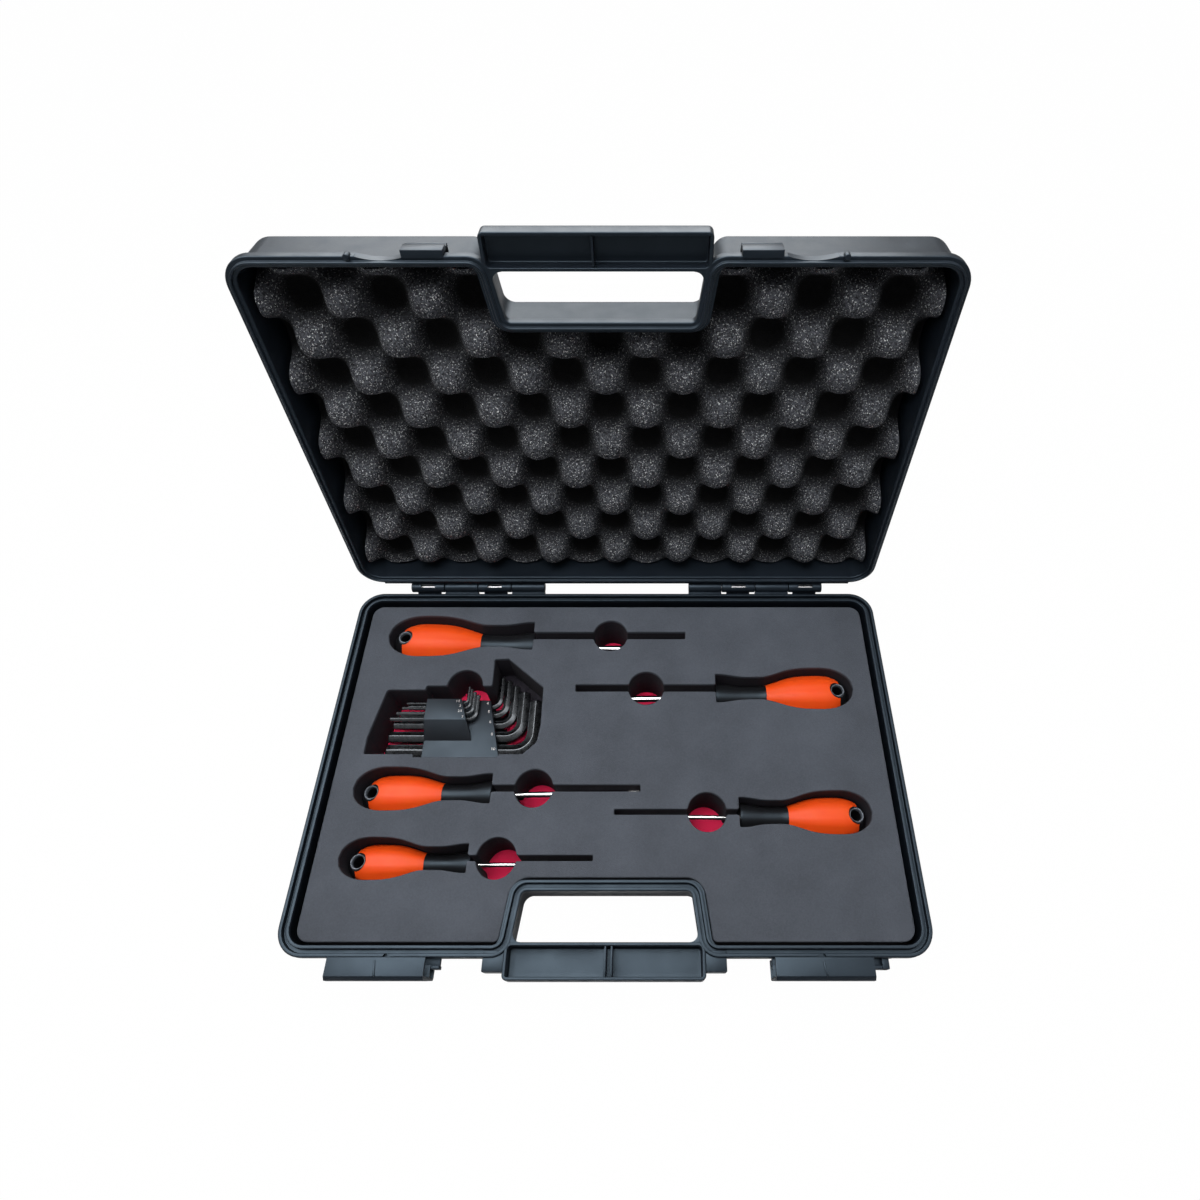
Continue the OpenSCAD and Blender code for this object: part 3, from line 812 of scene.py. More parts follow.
@dataclass
class BaseShell(Shell):
    """The base: grooved rim, handle half, latch rails, stop blocks and the inner hinge knuckles."""

    groove_in: float = 2.3
    groove_w: float = 2.4
    groove_h: float = 3.7
    lip: float = 0.7
    peg_x: float = 129.0
    rails: Sequence[Tuple[float, float]] = ((-160.0, -98.5), (100.0, 169.3))
    rail_stop: float = 165.0
    stop_out: float = 72.5

    def build(self) -> bpy.types.Object:
        """Makes the base."""
        f, h = self.form, self.form.base_h
        g0, g1 = self.groove_in, self.groove_in + self.groove_w
        edge = f.wall_in + f.wall + self.lip
        piece = Moulding("base_case")
        piece.add(self.skin(h, [(0, h, 0.8), (g0, h, 0.4), (g0, h - self.groove_h, 0.4),
                                (g1, h - self.groove_h, 0.4), (g1, h, 0.4), (edge, h, 0.5),
                                (edge, h - f.ridge_h, 0.2)]))
        notches = Moulding("peg_notches")
        for side in Side:
            notches.add(rod(2.4, 4, 0, 32),
                        side.flip @ Matrix.Translation((self.peg_x, f.front + 0.2, h - 3)))
        piece.carve(notches)
        Trough().add_to(piece, h)
        for low, high, edge in self.rail_blocks():
            piece.add(soft_box(low, high, edge))
        Knuckles().add_to(piece, 0, (h - f.flange_h, h - 0.3), 58)
        return piece.finish("base", CASE_PLASTIC, "case_plastic", ["base_shell"])

    def rail_blocks(self) -> list[Tuple[Sequence[float], Sequence[float], float]]:
        """The boxes of the rails, the right end stop and the stop blocks beside the handle."""
        f, h = self.form, self.form.base_h
        wall_y = f.front + f.wall_in + 1
        boxes = [((self.rail_stop, f.front - 5.7, h - 12.5), (self.rails[1][1], wall_y, h - 4.5),
                  0.5)]
        for r0, r1 in self.rails:
            boxes.append(((r0, f.front - 4.5, h - 10), (r1, wall_y, h - 7), 0.3))
            boxes.append(((r0, f.front - 5.7, h - 12), (r1, f.front - 3.7, h - 5), 0.4))
        for x0, x1 in ((1 - f.grip_end, -self.stop_out), (f.grip_end - 1, self.stop_out)):
            boxes.append(((min(x0, x1), f.front - 7.5, h - 12), (max(x0, x1), wall_y, h - 1.5),
                          0.7))
        return boxes


@dataclass
class LidShell(Shell):
    """The lid, modelled closed: tongued rim, handle half, latch catches, pegs and outer knuckles."""

    tongue_in: float = 2.4
    tongue_w: float = 1.5
    tongue_h: float = 1.8
    grip_h: float = 9.5
    lip: float = 1.3
    catches: Sequence[Tuple[float, float]] = ((-101.0, -79.0), (75.0, 96.5))
    peg_x: float = 129.0
    scoop_x: float = 112.0
    scoop_r: float = 45.0
    scoop_in: float = 2.1
    heel_lean: float = 34.0

    def build(self) -> bpy.types.Object:
        """Makes the lid and swings it open."""
        f, h = self.form, self.form.lid_h
        over = Matrix.Translation((0, 0, f.lid_z + h)) @ Matrix.Scale(-1, 4, (0, 0, 1))
        t0, t1 = self.tongue_in, self.tongue_in + self.tongue_w
        top = h + self.tongue_h
        piece = Moulding("lid_case")
        piece.add(self.skin(h,
                            [(0, h, 0.8), (t0, h, 0.4), (t0, top, 0.6), (t1, top, 0.6),
                             (t1, h, 0.4),
                                (f.wall_in + f.wall, h, 0.9)], over))
        scoops = Moulding("scoops")
        for side in Side:
            at = Matrix.Translation((self.scoop_x, f.front + self.scoop_in - self.scoop_r,
                                     f.lid_z - 1))
            scoops.add(rod(self.scoop_r, f.flange_h + 2, 0, 256), side.flip @ at)
        piece.carve(scoops)
        Trough(self.grip_h, (-2.9,)).add_to(piece, h, over)
        end = f.width / 2 - f.corner_r
        piece.add(soft_box((-end, f.back - 1, f.lid_z),
                           (end, f.back + self.lip, f.lid_z + f.flange_h), 0.5))
        for catch in self.catches:
            for part in self.catch_parts(*catch):
                piece.add(part)
        for side in Side:
            peg = rod(1.8, 4.4, 0.7, 32)
            piece.add(peg,
                      side.flip @ Matrix.Translation((self.peg_x, f.front + 0.2, f.lid_z - 1.4)))
        Knuckles().add_to(piece, 1, (HINGE.z, f.lid_z + f.flange_h), -118)
        self.add_heels(piece)
        return piece.finish("lid", CASE_PLASTIC, "case_plastic", ["lid_shell"], OPENED)

    def catch_parts(self, c0: float, c1: float) -> list[bmesh.types.BMesh]:
        """One latch catch, from c0 to c1, with its lip and pockets."""
        f, h = self.form, self.form.base_h
        wall_y = f.front + f.wall_in + 1
        parts = [soft_box((c0, f.front - 3.2, f.lid_z), (c1, wall_y, h + 8), 0.4),
                 soft_box((c0, f.front - 0.9, f.lid_z + 0.3), (c1, wall_y, h + 12.3), 0.3),
                 soft_box((c0, f.front - 2, h + 10.8), (c1, wall_y, h + 12.5), 0.3)]
        step = (c1 - c0 - 1.2) / 3
        return parts + [soft_box((c0 + k * step, f.front - 1.8, h + 7.5),
                                 (c0 + k * step + 1.2, wall_y, h + 11.2),
                                 0.3) for k in range(4)]

    def add_heels(self, piece: Moulding) -> None:
        """Adds the heels that meet the base's flange when the lid rests open."""
        knuckle = Knuckles()
        turn = Matrix.Rotation(OPEN_ANGLE - math.radians(self.heel_lean), 4, "X")
        for side in Side:
            for k in (1, 3):
                at = Matrix.Translation((knuckle.start + k * knuckle.length + 4, HINGE.y, HINGE.z))
                piece.add(soft_box((0, -1.2, -8.4), (knuckle.length - 8, 1.2, 1 - knuckle.radius),
                                   0.4),
                          side.flip @ at @ turn)


@dataclass
class LatchSlider:
    """A hollow slider that runs on the base's rail and hooks over the lid's catch."""

    side: Side
    form: CaseForm = CASE
    length: float = 57.0
    rib_lean: float = 9.0

    def section(self) -> list[Point]:
        """Its section: outwards from the rim's front edge, and up from the base's rim."""
        corners = [(0.5, -14, 0.3), (10, -14, 0.8), (11.3, -12.7, 0.8), (12.5, 4, 2),
                   (12.5, 8.3, 0.8),
                   (10.5, 10.3, 0.6), (0.5, 10.3, 0.4), (0.5, 8.4, 0.2), (10.2, 8.4, 0.8),
                   (10.2, -3.6, 0.8),
                   (3.5, -3.6, 0.3), (3.5, -4.7, 0.3), (6, -4.7, 0.3), (6, -5, 0.2),
                   (10.2, -5, 0.4),
                   (10.2, -12, 0.6), (3.4, -12.3, 0.4), (3.4, -10.3, 0.2), (0.5, -10.3, 0.2)]
        return rounded_path([(q, z) for q, z, _ in corners], [r for _, _, r in corners], step=22)

    def build(self) -> bpy.types.Object:
        """Makes the slider where it is drawn out."""
        f, name = self.form, "latch_slider_" + self.side.name.lower()
        low, high = box_mm(name)
        x0 = min(abs(low.x), abs(high.x))
        piece = Moulding("latch_" + self.side.name.lower())
        out = Matrix.Translation((0, f.front, f.base_h)) @ Matrix.Scale(-1, 4, (0, 1, 0))
        piece.add(prism(self.section(), self.length, 0.35),
                  self.side.flip @ out @ Matrix.Translation((x0, 0, 0))
                  @ ALONG_X)
        lean = Matrix.Rotation(math.radians(self.rib_lean * self.side.value), 4, "Z")
        place = Matrix.Translation((x0 + self.length / 2, f.front - 6.4, 0))
        piece.add(soft_box((-0.6, -4.2, f.base_h + 9.8), (0.6, 4.2, f.base_h + 10.88), 0.3),
                  self.side.flip @ place @ lean)
        return piece.finish("latch_" + self.side.name.lower(), CASE_PLASTIC, "case_plastic", [name])


@dataclass
class HingePins:
    """The steel pins, kept from the frame."""

    def build(self) -> None:
        """Gives both pins their finish."""
        for side in Side:
            keep_node("hinge_pin_" + side.name.lower(), PIN_STEEL)


def keep_node(name: str, finish: Finish) -> None:
    """Keeps a CAD node's shape and gives it a better material."""
    node = frame["nodes"][name]
    for place in node.material_slots:
        place.material = finish.material()
    log.info("%s: kept, with %s", name, finish.name)


# ---- foam ---------------------------------------------------------------------------------

@dataclass(frozen=True)
class HandleShape:
    """A screwdriver handle's profile: t runs from its tail (0) to its collar (1)."""

    swell: float = 0.22
    waist: float = 0.68
    flare: float = 0.78
    neck: float = 0.53
    collar: float = 0.68

    def radius(self, t: float) -> float:
        """Its radius at t, as a share of its largest."""
        if t < self.swell:
            return math.sqrt(max(0.0, 1 - ((self.swell - t) / self.swell) ** 2))
        if t < self.waist:
            return self.ease(1, self.neck, ((t - self.swell) / (self.waist - self.swell)) ** 1.7)
        if t < self.flare:
            return self.neck
        return self.ease(self.neck, self.collar, (t - self.flare) / (1 - self.flare))

    @staticmethod
    def ease(a: float, b: float, u: float) -> float:
        """A smooth step from a to b."""
        return a + (b - a) * (1 - math.cos(math.pi * u)) / 2

    def places(self, first: float = 0.0, last: float = 1.0, steps: int = 30) -> list[float]:
        """Values of t between two ends, closer together round the tail."""
        tail = [self.swell * (1 - math.cos(math.pi / 2 * k / 9)) for k in range(9)]
        body = [self.swell + (1 - self.swell) * k / steps for k in range(steps + 1)]
        inner = [t for t in tail + body if first + 0.004 < t < last - 0.004]
        return [first, *inner, last]


HANDLE = HandleShape()


@dataclass(frozen=True)
class DriverPlace:
    """Where a screwdriver lies: the line of its axis, its sizes and how far its blade dips."""

    number: int
    line: float
    tail: float
    way: int
    length: float
    radius: float
    blade_r: float
    tip: float
    finger: float
    height: float
    dip: float
    thickest: float = 0.3

    @property
    def reach(self) -> float:
        """The distance from tail to tip."""
        return abs(self.tip - self.tail)

    @property
    def floor(self) -> float:
        """The height of the foam under the handle."""
        return self.height - self.radius - 0.5

    @property
    def matrix(self) -> Matrix:
        """From the driver's own frame, X from tail to tip, to the case."""
        pivot = Matrix.Translation((self.thickest * self.length, 0, 0))
        place = Matrix.Translation((self.tail, self.line, self.height))
        if self.way < 0:
            place = place @ Matrix.Rotation(math.pi, 4, "Z")
        return place @ pivot @ Matrix.Rotation(math.radians(self.dip), 4, "Y") @ pivot.inverted()


DRIVERS = (
    DriverPlace(1, 92.5, -172.4, 1, 109, 16.9, 2.75, 52, -4, 25.9, 2.2),
    DriverPlace(2, 49.2, 174, -1, 99, 15.8, 2.5, -27, 23.5, 26.1, 1.6),
    DriverPlace(3, -24.1, -173.4, 1, 92, 14.4, 2, 19, -52, 22.5, -3),
    DriverPlace(4, -39.9, 173.6, -1, 87, 13.9, 1.5, 3.8, 64.5, 25, -2.5),
    DriverPlace(5, -69.1, -172.8, 1, 81.5, 12.7, 1.5, -11, -72, 21.5, 0),
)


@dataclass
class FoamTray:
    """The cut foam: a thick block with a pocket for each driver and one for the keys."""

    form: CaseForm = CASE
    low: float = 6.0
    high: float = 43.3
    edge: float = 0.7
    support: float = 0.25
    gap: float = 0.4
    slot_gap: float = 0.3
    finger_r: float = 13.0

    def driver_loop(self, place: DriverPlace) -> list[Point]:
        """One driver's cut-out: handle pocket, blade slot and finger hole as one loop."""
        length, radius, gap = place.length, place.radius, self.gap
        slot = place.blade_r + self.slot_gap
        half = [(t * length - gap * max(0.0, 1 - t / HANDLE.swell) ** 2, HANDLE.radius(t) * radius
                 + gap * min(1.0, math.sqrt(t / 0.03))) for t in HANDLE.places(0, 1, 22)]
        corners = [(x, y, 0.0) for x, y in half[1:-1]]
        corners += [(length + 2 * gap, half[-1][1], 0.8), (length + 2 * gap, slot, 1.2)]
        middle = abs(place.finger - place.tail)
        start = math.asin(slot / self.finger_r)
        arc = [start + (math.pi - 2 * start) * k / 24 for k in range(24, -1, -1)]
        corners += [(middle + self.finger_r * math.cos(a), self.finger_r * math.sin(a),
                     1.2 if i in (0, 24) else 0.0) for i, a in enumerate(arc)]
        corners.append((place.reach + 1, slot, 0.8))
        nose = [(-gap, 0.0, 0.0)]
        loop = nose + corners + [(x, -y, r) for x, y, r in reversed(corners)]
        path = rounded_path([(x, y) for x, y, _ in loop], [r for _, _, r in loop], step=20)
        return [(place.tail + place.way * x, place.line + y) for x, y in path]

    def bed(self, place: DriverPlace) -> bmesh.types.BMesh:
        """The foam left uncut under one handle, a little wider than its pocket."""
        half = [(t * place.length,
                 HANDLE.radius(t) * place.radius + self.gap + 0.2) for t in HANDLE.places(0.02)]
        half.append((place.length + 2 * self.gap, half[-1][1]))
        loop = half + [(x, -y) for x, y in reversed(half)]
        section = [(place.tail + place.way * x, place.line + y) for x, y in loop]
        bm = prism(section[::place.way], place.floor - self.low + 0.05, 0)
        bmesh.ops.translate(bm, vec=(0, 0, self.low - 0.05), verts=bm.verts)
        return bm

    def key_loop(self) -> list[Point]:
        """The keys' cut-out, with a finger hole at its back."""
        centre, r = (-109.0, 50.6), self.finger_r
        a = math.asin(0.4 / r)
        arc = [(centre[0] + r * math.cos(t), centre[1] + r * math.sin(t), 0.0)
               for t in (a + (math.pi - 2 * a) * k / 28 for k in range(29))]
        arc[0], arc[-1] = (*arc[0][:2], 1.0), (*arc[-1][:2], 1.0)
        corners = [(-172, -0.4, 1), (-137.6, -0.4, 1), (-137.6, -2.6, 0.8), (-78.5, -2.6, 0.8),
                   (-78.5, -0.4, 1),
                   (-62, -0.4, 3), (-53, 8, 4), (-51.2, 21, 2), (-51.6, 49.6, 2),
                   (-79.4, 72.8, 1.2),
                   (-89.6, 72.4, 1.2), (-89, 51, 1.5), *arc, (-137, 51, 1.2), (-137, 47.8, 1.2),
                   (-165, 47.8, 2), (-172, 12, 2)]
        return rounded_path([(x, y) for x, y, _ in corners], [r for _, _, r in corners], step=20)

    def wall(self, bm: bmesh.types.BMesh, loop: Sequence[Point], outwards: float) -> Tuple[list,
                                                                                           list]:
        """One upright wall with a rounded top edge.

        Args:
            bm: the mesh to add to.
            loop: the wall's line.
            outwards: 1 where the foam lies outside the loop, -1 where it lies inside.

        Returns:
            The wall's bottom and top edges.
        """
        e, top = self.edge, self.high
        steps = [(0, self.low), (0, top - e)]
        steps += [(e * (1 - math.cos(a)),
                   top - e + e * math.sin(a)) for a in (math.pi / 8 * k for k in range(1, 5))]
        steps.append((e + self.support, top))
        return loft(bm, [[(x, y, z) for x, y in (offset_loop(loop, outwards * d) if d else loop)]
                         for d, z in steps], False, False)

    def build(self) -> bpy.types.Object:
        """Makes the foam tray."""
        piece = Moulding("foam_insert")
        bottoms, tops = self.wall(piece.bm, self.form.outline(self.form.foam_in), -1)
        for loop in [self.driver_loop(place) for place in DRIVERS] + [self.key_loop()]:
            bottom, top = self.wall(piece.bm, loop, 1)
            bottoms, tops = bottoms + bottom, tops + top
        for edges in (bottoms, tops):
            bmesh.ops.triangle_fill(piece.bm, edges=edges, use_beauty=True)
        bmesh.ops.recalc_face_normals(piece.bm, faces=piece.bm.faces)
        piece.add(soft_box((-134, -2.9, self.low - 0.05), (-82, 44, 15), 0.6))
        # Painted shade: a low foam pad covers the red backing in the key pocket's back corner and, lying far
        # below the top face, takes the dark wall colour.
        corner = prism([(-50.8, 43), (-50.8, 50.2), (-79, 73.6), (-89.8, 73.2), (-89.8, 63),
                        (-80, 60), (-62, 45)],
                       8, 0.4)
        piece.add(corner, Matrix.Translation((0, 0, self.low - 0.05)))
        for place in DRIVERS:
            piece.add(self.bed(place))
        made = piece.finish("base", TRAY_FOAM, "tray_foam", ["foam_tray"])
        return made


@dataclass
class FoamBacking:
    """The thin bright foam under the tray, seen through its cut-outs."""

    form: CaseForm = CASE
    low: float = 2.9
    high: float = 5.9

    def build(self) -> bpy.types.Object:
        """Makes the sheet."""
        piece = Moulding("foam_base_sheet")
        piece.add(prism(self.form.outline(self.form.foam_in), self.high - self.low, 0.4),
                  Matrix.Translation((0, 0, self.low)))
        made = piece.finish("base", RED_FOAM, "backing_foam", ["foam_backing"])
        return made


@dataclass
class LidFoam:
    """The convoluted foam in the lid: staggered bumps whose tips hold the tools down."""

    form: CaseForm = CASE
    peak: float = 3.8
    valley: float = 24.5
    back: float = 32.1
    pitch: float = 48.0
    row: float = 25.0
    first_row: float = 23.0
    step: float = 1.6
    steep: float = 1.75
    lean: float = 0.15

    def depth(self, x: float, y: float) -> float:
        """The surface's distance from the lid's rim."""
        wave = math.cos(2 * math.pi * x / self.pitch) * math.cos(
            math.pi * (y - self.form.back + self.first_row) / self.row)
        wobble = noise.noise(Vector((x, y, 4.0)) / 31.0) * 0.10 + noise.noise(Vector((x, y,
                                                                                      9.0)) / 9.0) * 0.04
        wave = math.tanh(self.steep * (wave + wobble - self.lean)) / math.tanh(self.steep)
        middle, swing = (self.valley + self.peak) / 2, (self.valley - self.peak) / 2
        return max(self.peak, middle - swing * wave)

    def build(self) -> bpy.types.Object:
        """Makes the sheet, with its bumps facing out of the lid."""
        f = self.form
        columns, rows = round(f.width / self.step), round(f.depth / self.step)
        block = Moulding("lid_foam_sheet")
        bmesh.ops.create_grid(block.bm, x_segments=columns, y_segments=rows, size=0.5)
        for v in block.bm.verts:
            x, y = v.co.x * f.width, v.co.y * f.depth
            v.co = (x, y, f.lid_z + self.depth(x, y))
        made = bmesh.ops.extrude_face_region(block.bm, geom=block.bm.faces[:])["geom"]
        for v in (g for g in made if isinstance(g, bmesh.types.BMVert)):
            v.co.z = f.lid_z + self.back
        bmesh.ops.recalc_face_normals(block.bm, faces=block.bm.faces)
        trim = Moulding("trim")
        trim.add(prism(f.outline(f.foam_in + 0.05), f.lid_h, 0),
                 Matrix.Translation((0, 0, f.lid_z)))
        block.carve(trim, "INTERSECT")
        made = block.finish("lid", LID_FOAM, "lid_foam", ["lid_foam"], OPENED, crease=55)
        return made


# ---- tools --------------------------------------------------------------------------------

@dataclass
class Screwdriver:
    """A screwdriver: steel blade, black core and fluted orange sleeve."""

    place: DriverPlace
    sleeve: Tuple[float, float] = (0.08, 0.62)
    sleeve_t: float = 1.8
    hang_t: float = 0.1
    hang_r: float = 3.9
    scoop_r: float = 5.7
    bead: float = 0.45
    flutes: int = 8
    flute_depth: float = 0.35

    def profile(self, first: float, last: float, skin: float = 0.0) -> list[Point]:
        """The handle's surface between two places, moved in by skin."""
        p = self.place
        return [(t * p.length,
                 max(HANDLE.radius(t) * p.radius - skin, 0.0)) for t in HANDLE.places(first, last)]

    def ring(self, inner: float, outer: float, scoop: float, edge: float) -> Moulding:
        """The sleeve's ring between two depths under the surface, scooped round the hang hole."""
        first, last = self.sleeve
        top, under = self.profile(first, last, outer), self.profile(first, last, inner)
        corners = [(x, r, 0.0) for x, r in top] + [(x, r, 0.0) for x, r in reversed(under)]
        n = len(top)
        corners[0], corners[n - 1] = (*top[0], edge), (*top[-1], edge)
        piece = Moulding("sleeve")
        piece.add(lathe(rounded_path([(x, r) for x, r, _ in corners], [r for _, _, r in corners],
                                     step=30),
                        96, closed=True))
        cut = Moulding("scoop")
        cut.add(rod(scoop, 60, 0, 48),
                Matrix.Translation((self.hang_t * self.place.length, 0, -30)))
        return piece.carve(cut)

    def flute(self, bm: bmesh.types.BMesh) -> None:
        """Sinks shallow flutes into the sleeve, fading out at its ends."""
        length = self.place.length
        first, last = (t * length for t in self.sleeve)
        for v in bm.verts:
            along = (v.co.x - first) / (last - first)
            fade = max(0.0, math.sin(math.pi * min(max(along, 0.0), 1.0))) ** 0.6
            angle = math.atan2(v.co.y, v.co.z)
            sink = self.flute_depth * fade * (0.5 + 0.5 * math.cos(self.flutes * angle)) ** 2
            r = math.hypot(v.co.y, v.co.z)
            scale = (r - sink) / r
            v.co.y, v.co.z = v.co.y * scale, v.co.z * scale

    def build(self) -> None:
        """Makes the handle and keeps the blade."""
        p = self.place
        body = f"screwdriver_{p.number}"
        keep_node(body + "_blade", BRIGHT_STEEL)
        core = Moulding(body + "_handle")
        outline = self.profile(0, 1)
        front = [(p.length, outline[-1][1], 0.9), (p.length, p.blade_r + 0.9, 0.3),
                 (p.length - 1, p.blade_r, 0),
                 (p.length - 6, p.blade_r, 0), (p.length - 6, 0, 0)]
        corners = [(x, r, 0.0) for x, r in outline[:-1]] + front
        core.add(lathe(rounded_path([(x, r) for x, r, _ in corners], [r for _, _, r in corners],
                                    closed=False,
                                    step=30), 72))
        core.carve(self.ring(self.sleeve_t + 0.05, -1.5, self.scoop_r, 0.0))
        core.carve(self.hang_hole())
        core.finish(body, HANDLE_PLASTIC, "handle_black", [body + "_core"], p.matrix)
        self.hang_bead().finish(body, PAINTED_HIGHLIGHT_PLASTIC, "handle_black", at=p.matrix)
        sleeve = self.ring(self.sleeve_t, 0.0, self.scoop_r + 0.12, 0.35)
        self.flute(sleeve.bm)
        sleeve.name = body + "_sleeve"
        sleeve.finish(body, ORANGE_GRIP, "handle_orange", [body + "_grip"], p.matrix, crease=40)

    def hang_bead(self) -> Moulding:
        """The glossy boss round the hang hole's upper mouth, pale grey as a painted highlight on the black
        core.
        """
        p, r = self.place, self.hang_r
        top = HANDLE.radius(self.hang_t) * p.radius - self.bead
        corners = [(top - 3.5, r + 1.9, 0), (top - 0.8, r + 1.2, 0.8), (top, r + 0.8, 0.4),
                   (top, r + 0.3, 0.2),
                   (top - 1, r - 0.05, 0.5), (top - 3.5, r - 0.05, 0)]
        section = rounded_path([(z, out) for z, out, _ in corners], [e for _, _, e in corners],
                               step=30)
        upright = Matrix.Translation((self.hang_t * p.length, 0, 0)) @ Matrix.Rotation(-math.pi / 2,
                                                                                       4, "Y")
        return Moulding(f"screwdriver_{p.number}_bead").add(lathe(section, 48, closed=True),
                                                            upright)

    def hang_hole(self) -> Moulding:
        """The hole across the tail, widened at both mouths."""
        p, hole = self.place, Moulding("hang_hole")
        surface = HANDLE.radius(self.hang_t) * p.radius
        profile = [(-p.radius - 3, 0), (-p.radius - 3, self.hang_r + 3.6),
                   (-surface - 0.9, self.hang_r + 1.5),
                   (-surface + 1.3, self.hang_r), (surface - 1.3, self.hang_r),
                   (surface + 0.9, self.hang_r + 1.5), (p.radius + 3, self.hang_r + 3.6),
                   (p.radius + 3, 0)]
        upright = Matrix.Translation((self.hang_t * p.length, 0, 0)) @ Matrix.Rotation(-math.pi / 2,
                                                                                       4, "Y")
        return hole.add(lathe(profile, 40), upright)


@dataclass
class HexKey:
    """A hex key bent in the level plane: its long arm points left and its short arm back."""

    size: float
    node: str
    corner: float = 0.07

    def build(self) -> bpy.types.Object:
        """Makes the key from its CAD solid's box."""
        low, high = box_mm(self.node)
        half, bend = self.size / 2, self.size * 1.2 + 1.5
        axis, z = Vector((high.x - half, low.y + half)), (low.z + high.z) / 2
        centre = Vector((axis.x - bend, axis.y + bend))
        chamfer = 0.12 * self.size
        stations = [((low.x, axis.y), 0.0, 1 - 2 * chamfer / self.size),
                    ((low.x + chamfer, axis.y), 0.0, 1.0)]
        for k in range(13):
            a = math.pi / 2 * k / 12
            stations.append(((centre.x + bend * math.sin(a), centre.y - bend * math.cos(a)), a,
                             1.0))
        stations += [((axis.x, high.y - chamfer), math.pi / 2, 1.0),
                     ((axis.x, high.y), math.pi / 2, 1 - 2 * chamfer / self.size)]
        corners = [(self.size / math.sqrt(3) * math.cos(t), self.size / math.sqrt(3) * math.sin(t))
                   for t in (math.radians(30 + 60 * k) for k in range(6))]
        section = rounded_path(corners, [self.corner * self.size] * 6, step=20)
        rings = [[(x + u * s * math.sin(a), y - u * s * math.cos(a), z + v * s) for u, v in section]
                 for (x, y), a, s in stations]
        piece = Moulding(self.node + "_bar")
        loft(piece.bm, rings)
        bmesh.ops.recalc_face_normals(piece.bm, faces=piece.bm.faces)
        return piece.finish("hex_set", BLACK_STEEL, "key_steel", [self.node], crease=25)


@dataclass
class KeyHolder:
    """The stepped holder that the hex keys slide into, with their sizes printed on it."""

    keys: dict[str, float]
    edge: float = 0.5

    def right_edge(self, node: str, y: float) -> float:
        """The X of a holder node's slanted right side at y."""
        verts = [v.co / MM for v in frame["nodes"][node].data.vertices]
        low, high = box_mm(node)
        front = max(v.x for v in verts if v.y < low.y + 0.05)
        back = max(v.x for v in verts if v.y > high.y - 0.05)
        return front + (back - front) * (y - low.y) / (high.y - low.y)

    def holes(self, sizes: Iterable[str]) -> Moulding:
        """Hexagonal holes along X for some of the keys."""
        cut = Moulding("key_holes")
        for name in sizes:
            size = self.keys[name]
            low, high = box_mm(name)
            bar = rod((size + 0.3) / math.sqrt(3), 120, 0, 6)
            place = Matrix.Translation((-160, low.y + size / 2, (low.z + high.z) / 2))
            cut.add(bar, place @ Matrix.Rotation(math.pi / 2, 4, "Y"))
        return cut

    def build(self) -> None:
        """Makes the tray, the clip on it and the printed sizes."""
        small = [n for n, s in self.keys.items() if s < 3.5]
        large = [n for n, s in self.keys.items() if s > 3.5]
        low, high = box_mm("hex_key_tray")
        tray = Moulding("key_tray")
        block = prism([(low.x, low.y), (self.right_edge("hex_key_tray", low.y), low.y),
                       (self.right_edge("hex_key_tray", high.y), high.y), (low.x, high.y)],
                      high.z - low.z, self.edge)
        tray.add(block, Matrix.Translation((0, 0, low.z)))
        tray.carve(self.holes(large))
        tray.finish("hex_set", HOLDER_PLASTIC, "key_holder", ["hex_key_tray"])
        low, high = box_mm("hex_key_clip")
        slope = 26.5
        clip = Moulding("key_clip")
        section = [(low.y, low.z), (slope, high.z), (high.y, high.z), (high.y, low.z)]
        bar = prism(section, high.x - low.x, 0)
        bmesh.ops.transform(bar, matrix=Matrix.Translation((low.x, 0, 0)) @ ALONG_X,
                            verts=bar.verts)
        for v in bar.verts:
            if v.co.x > high.x - 0.01:
                v.co.x = self.right_edge("hex_key_clip", v.co.y)
        ease_edges(bar, self.edge, 2)
        clip.add(bar)
        clip.carve(self.holes(small))
        clip.finish("hex_set", HOLDER_PLASTIC, "key_holder", ["hex_key_clip"])
        self.print_sizes(large, "hex_key_tray", 3.0)
        self.print_sizes(small, "hex_key_clip", 2.4)

    def print_sizes(self, names: Sequence[str], on: str, height: float) -> None:
        """Prints each key's size beside its bar, near the holder's right edge."""
        top = box_mm(on)[1].z
        for name in names:
            size = self.keys[name]
            y = box_mm(name)[0].y + size / 2
            curve = bpy.data.curves.new(name + "_size", "FONT")
            curve.body = f"{size:g}"
            curve.size = height * MM
            curve.align_x, curve.align_y = "RIGHT", "CENTER"
            curve.extrude = 0.02 * MM
            scratch = bpy.data.objects.new(name + "_size", curve)
            bpy.context.scene.collection.objects.link(scratch)
            bpy.context.view_layer.update()
            mesh = bpy.data.meshes.new_from_object(scratch.evaluated_get(bpy.context.evaluated_depsgraph_get()))
            bpy.data.objects.remove(scratch)
            bpy.data.curves.remove(curve)
            place = Vector((self.right_edge(on, y) - 1.6, min(y, box_mm(on)[1].y - height * 0.8),
                            top + 0.03)) * MM
            mesh.transform(Matrix.Translation(place))
            mesh.materials.clear()
            mesh.materials.append(WHITE_PRINT.material())
            label = bpy.data.objects.new(name + "_size", mesh)
            bpy.context.scene.collection.objects.link(label)
            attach(label, "hex_set")
            log.info("%s_size: %s", name, f"{size:g}")


# ---- the studio ---------------------------------------------------------------------------

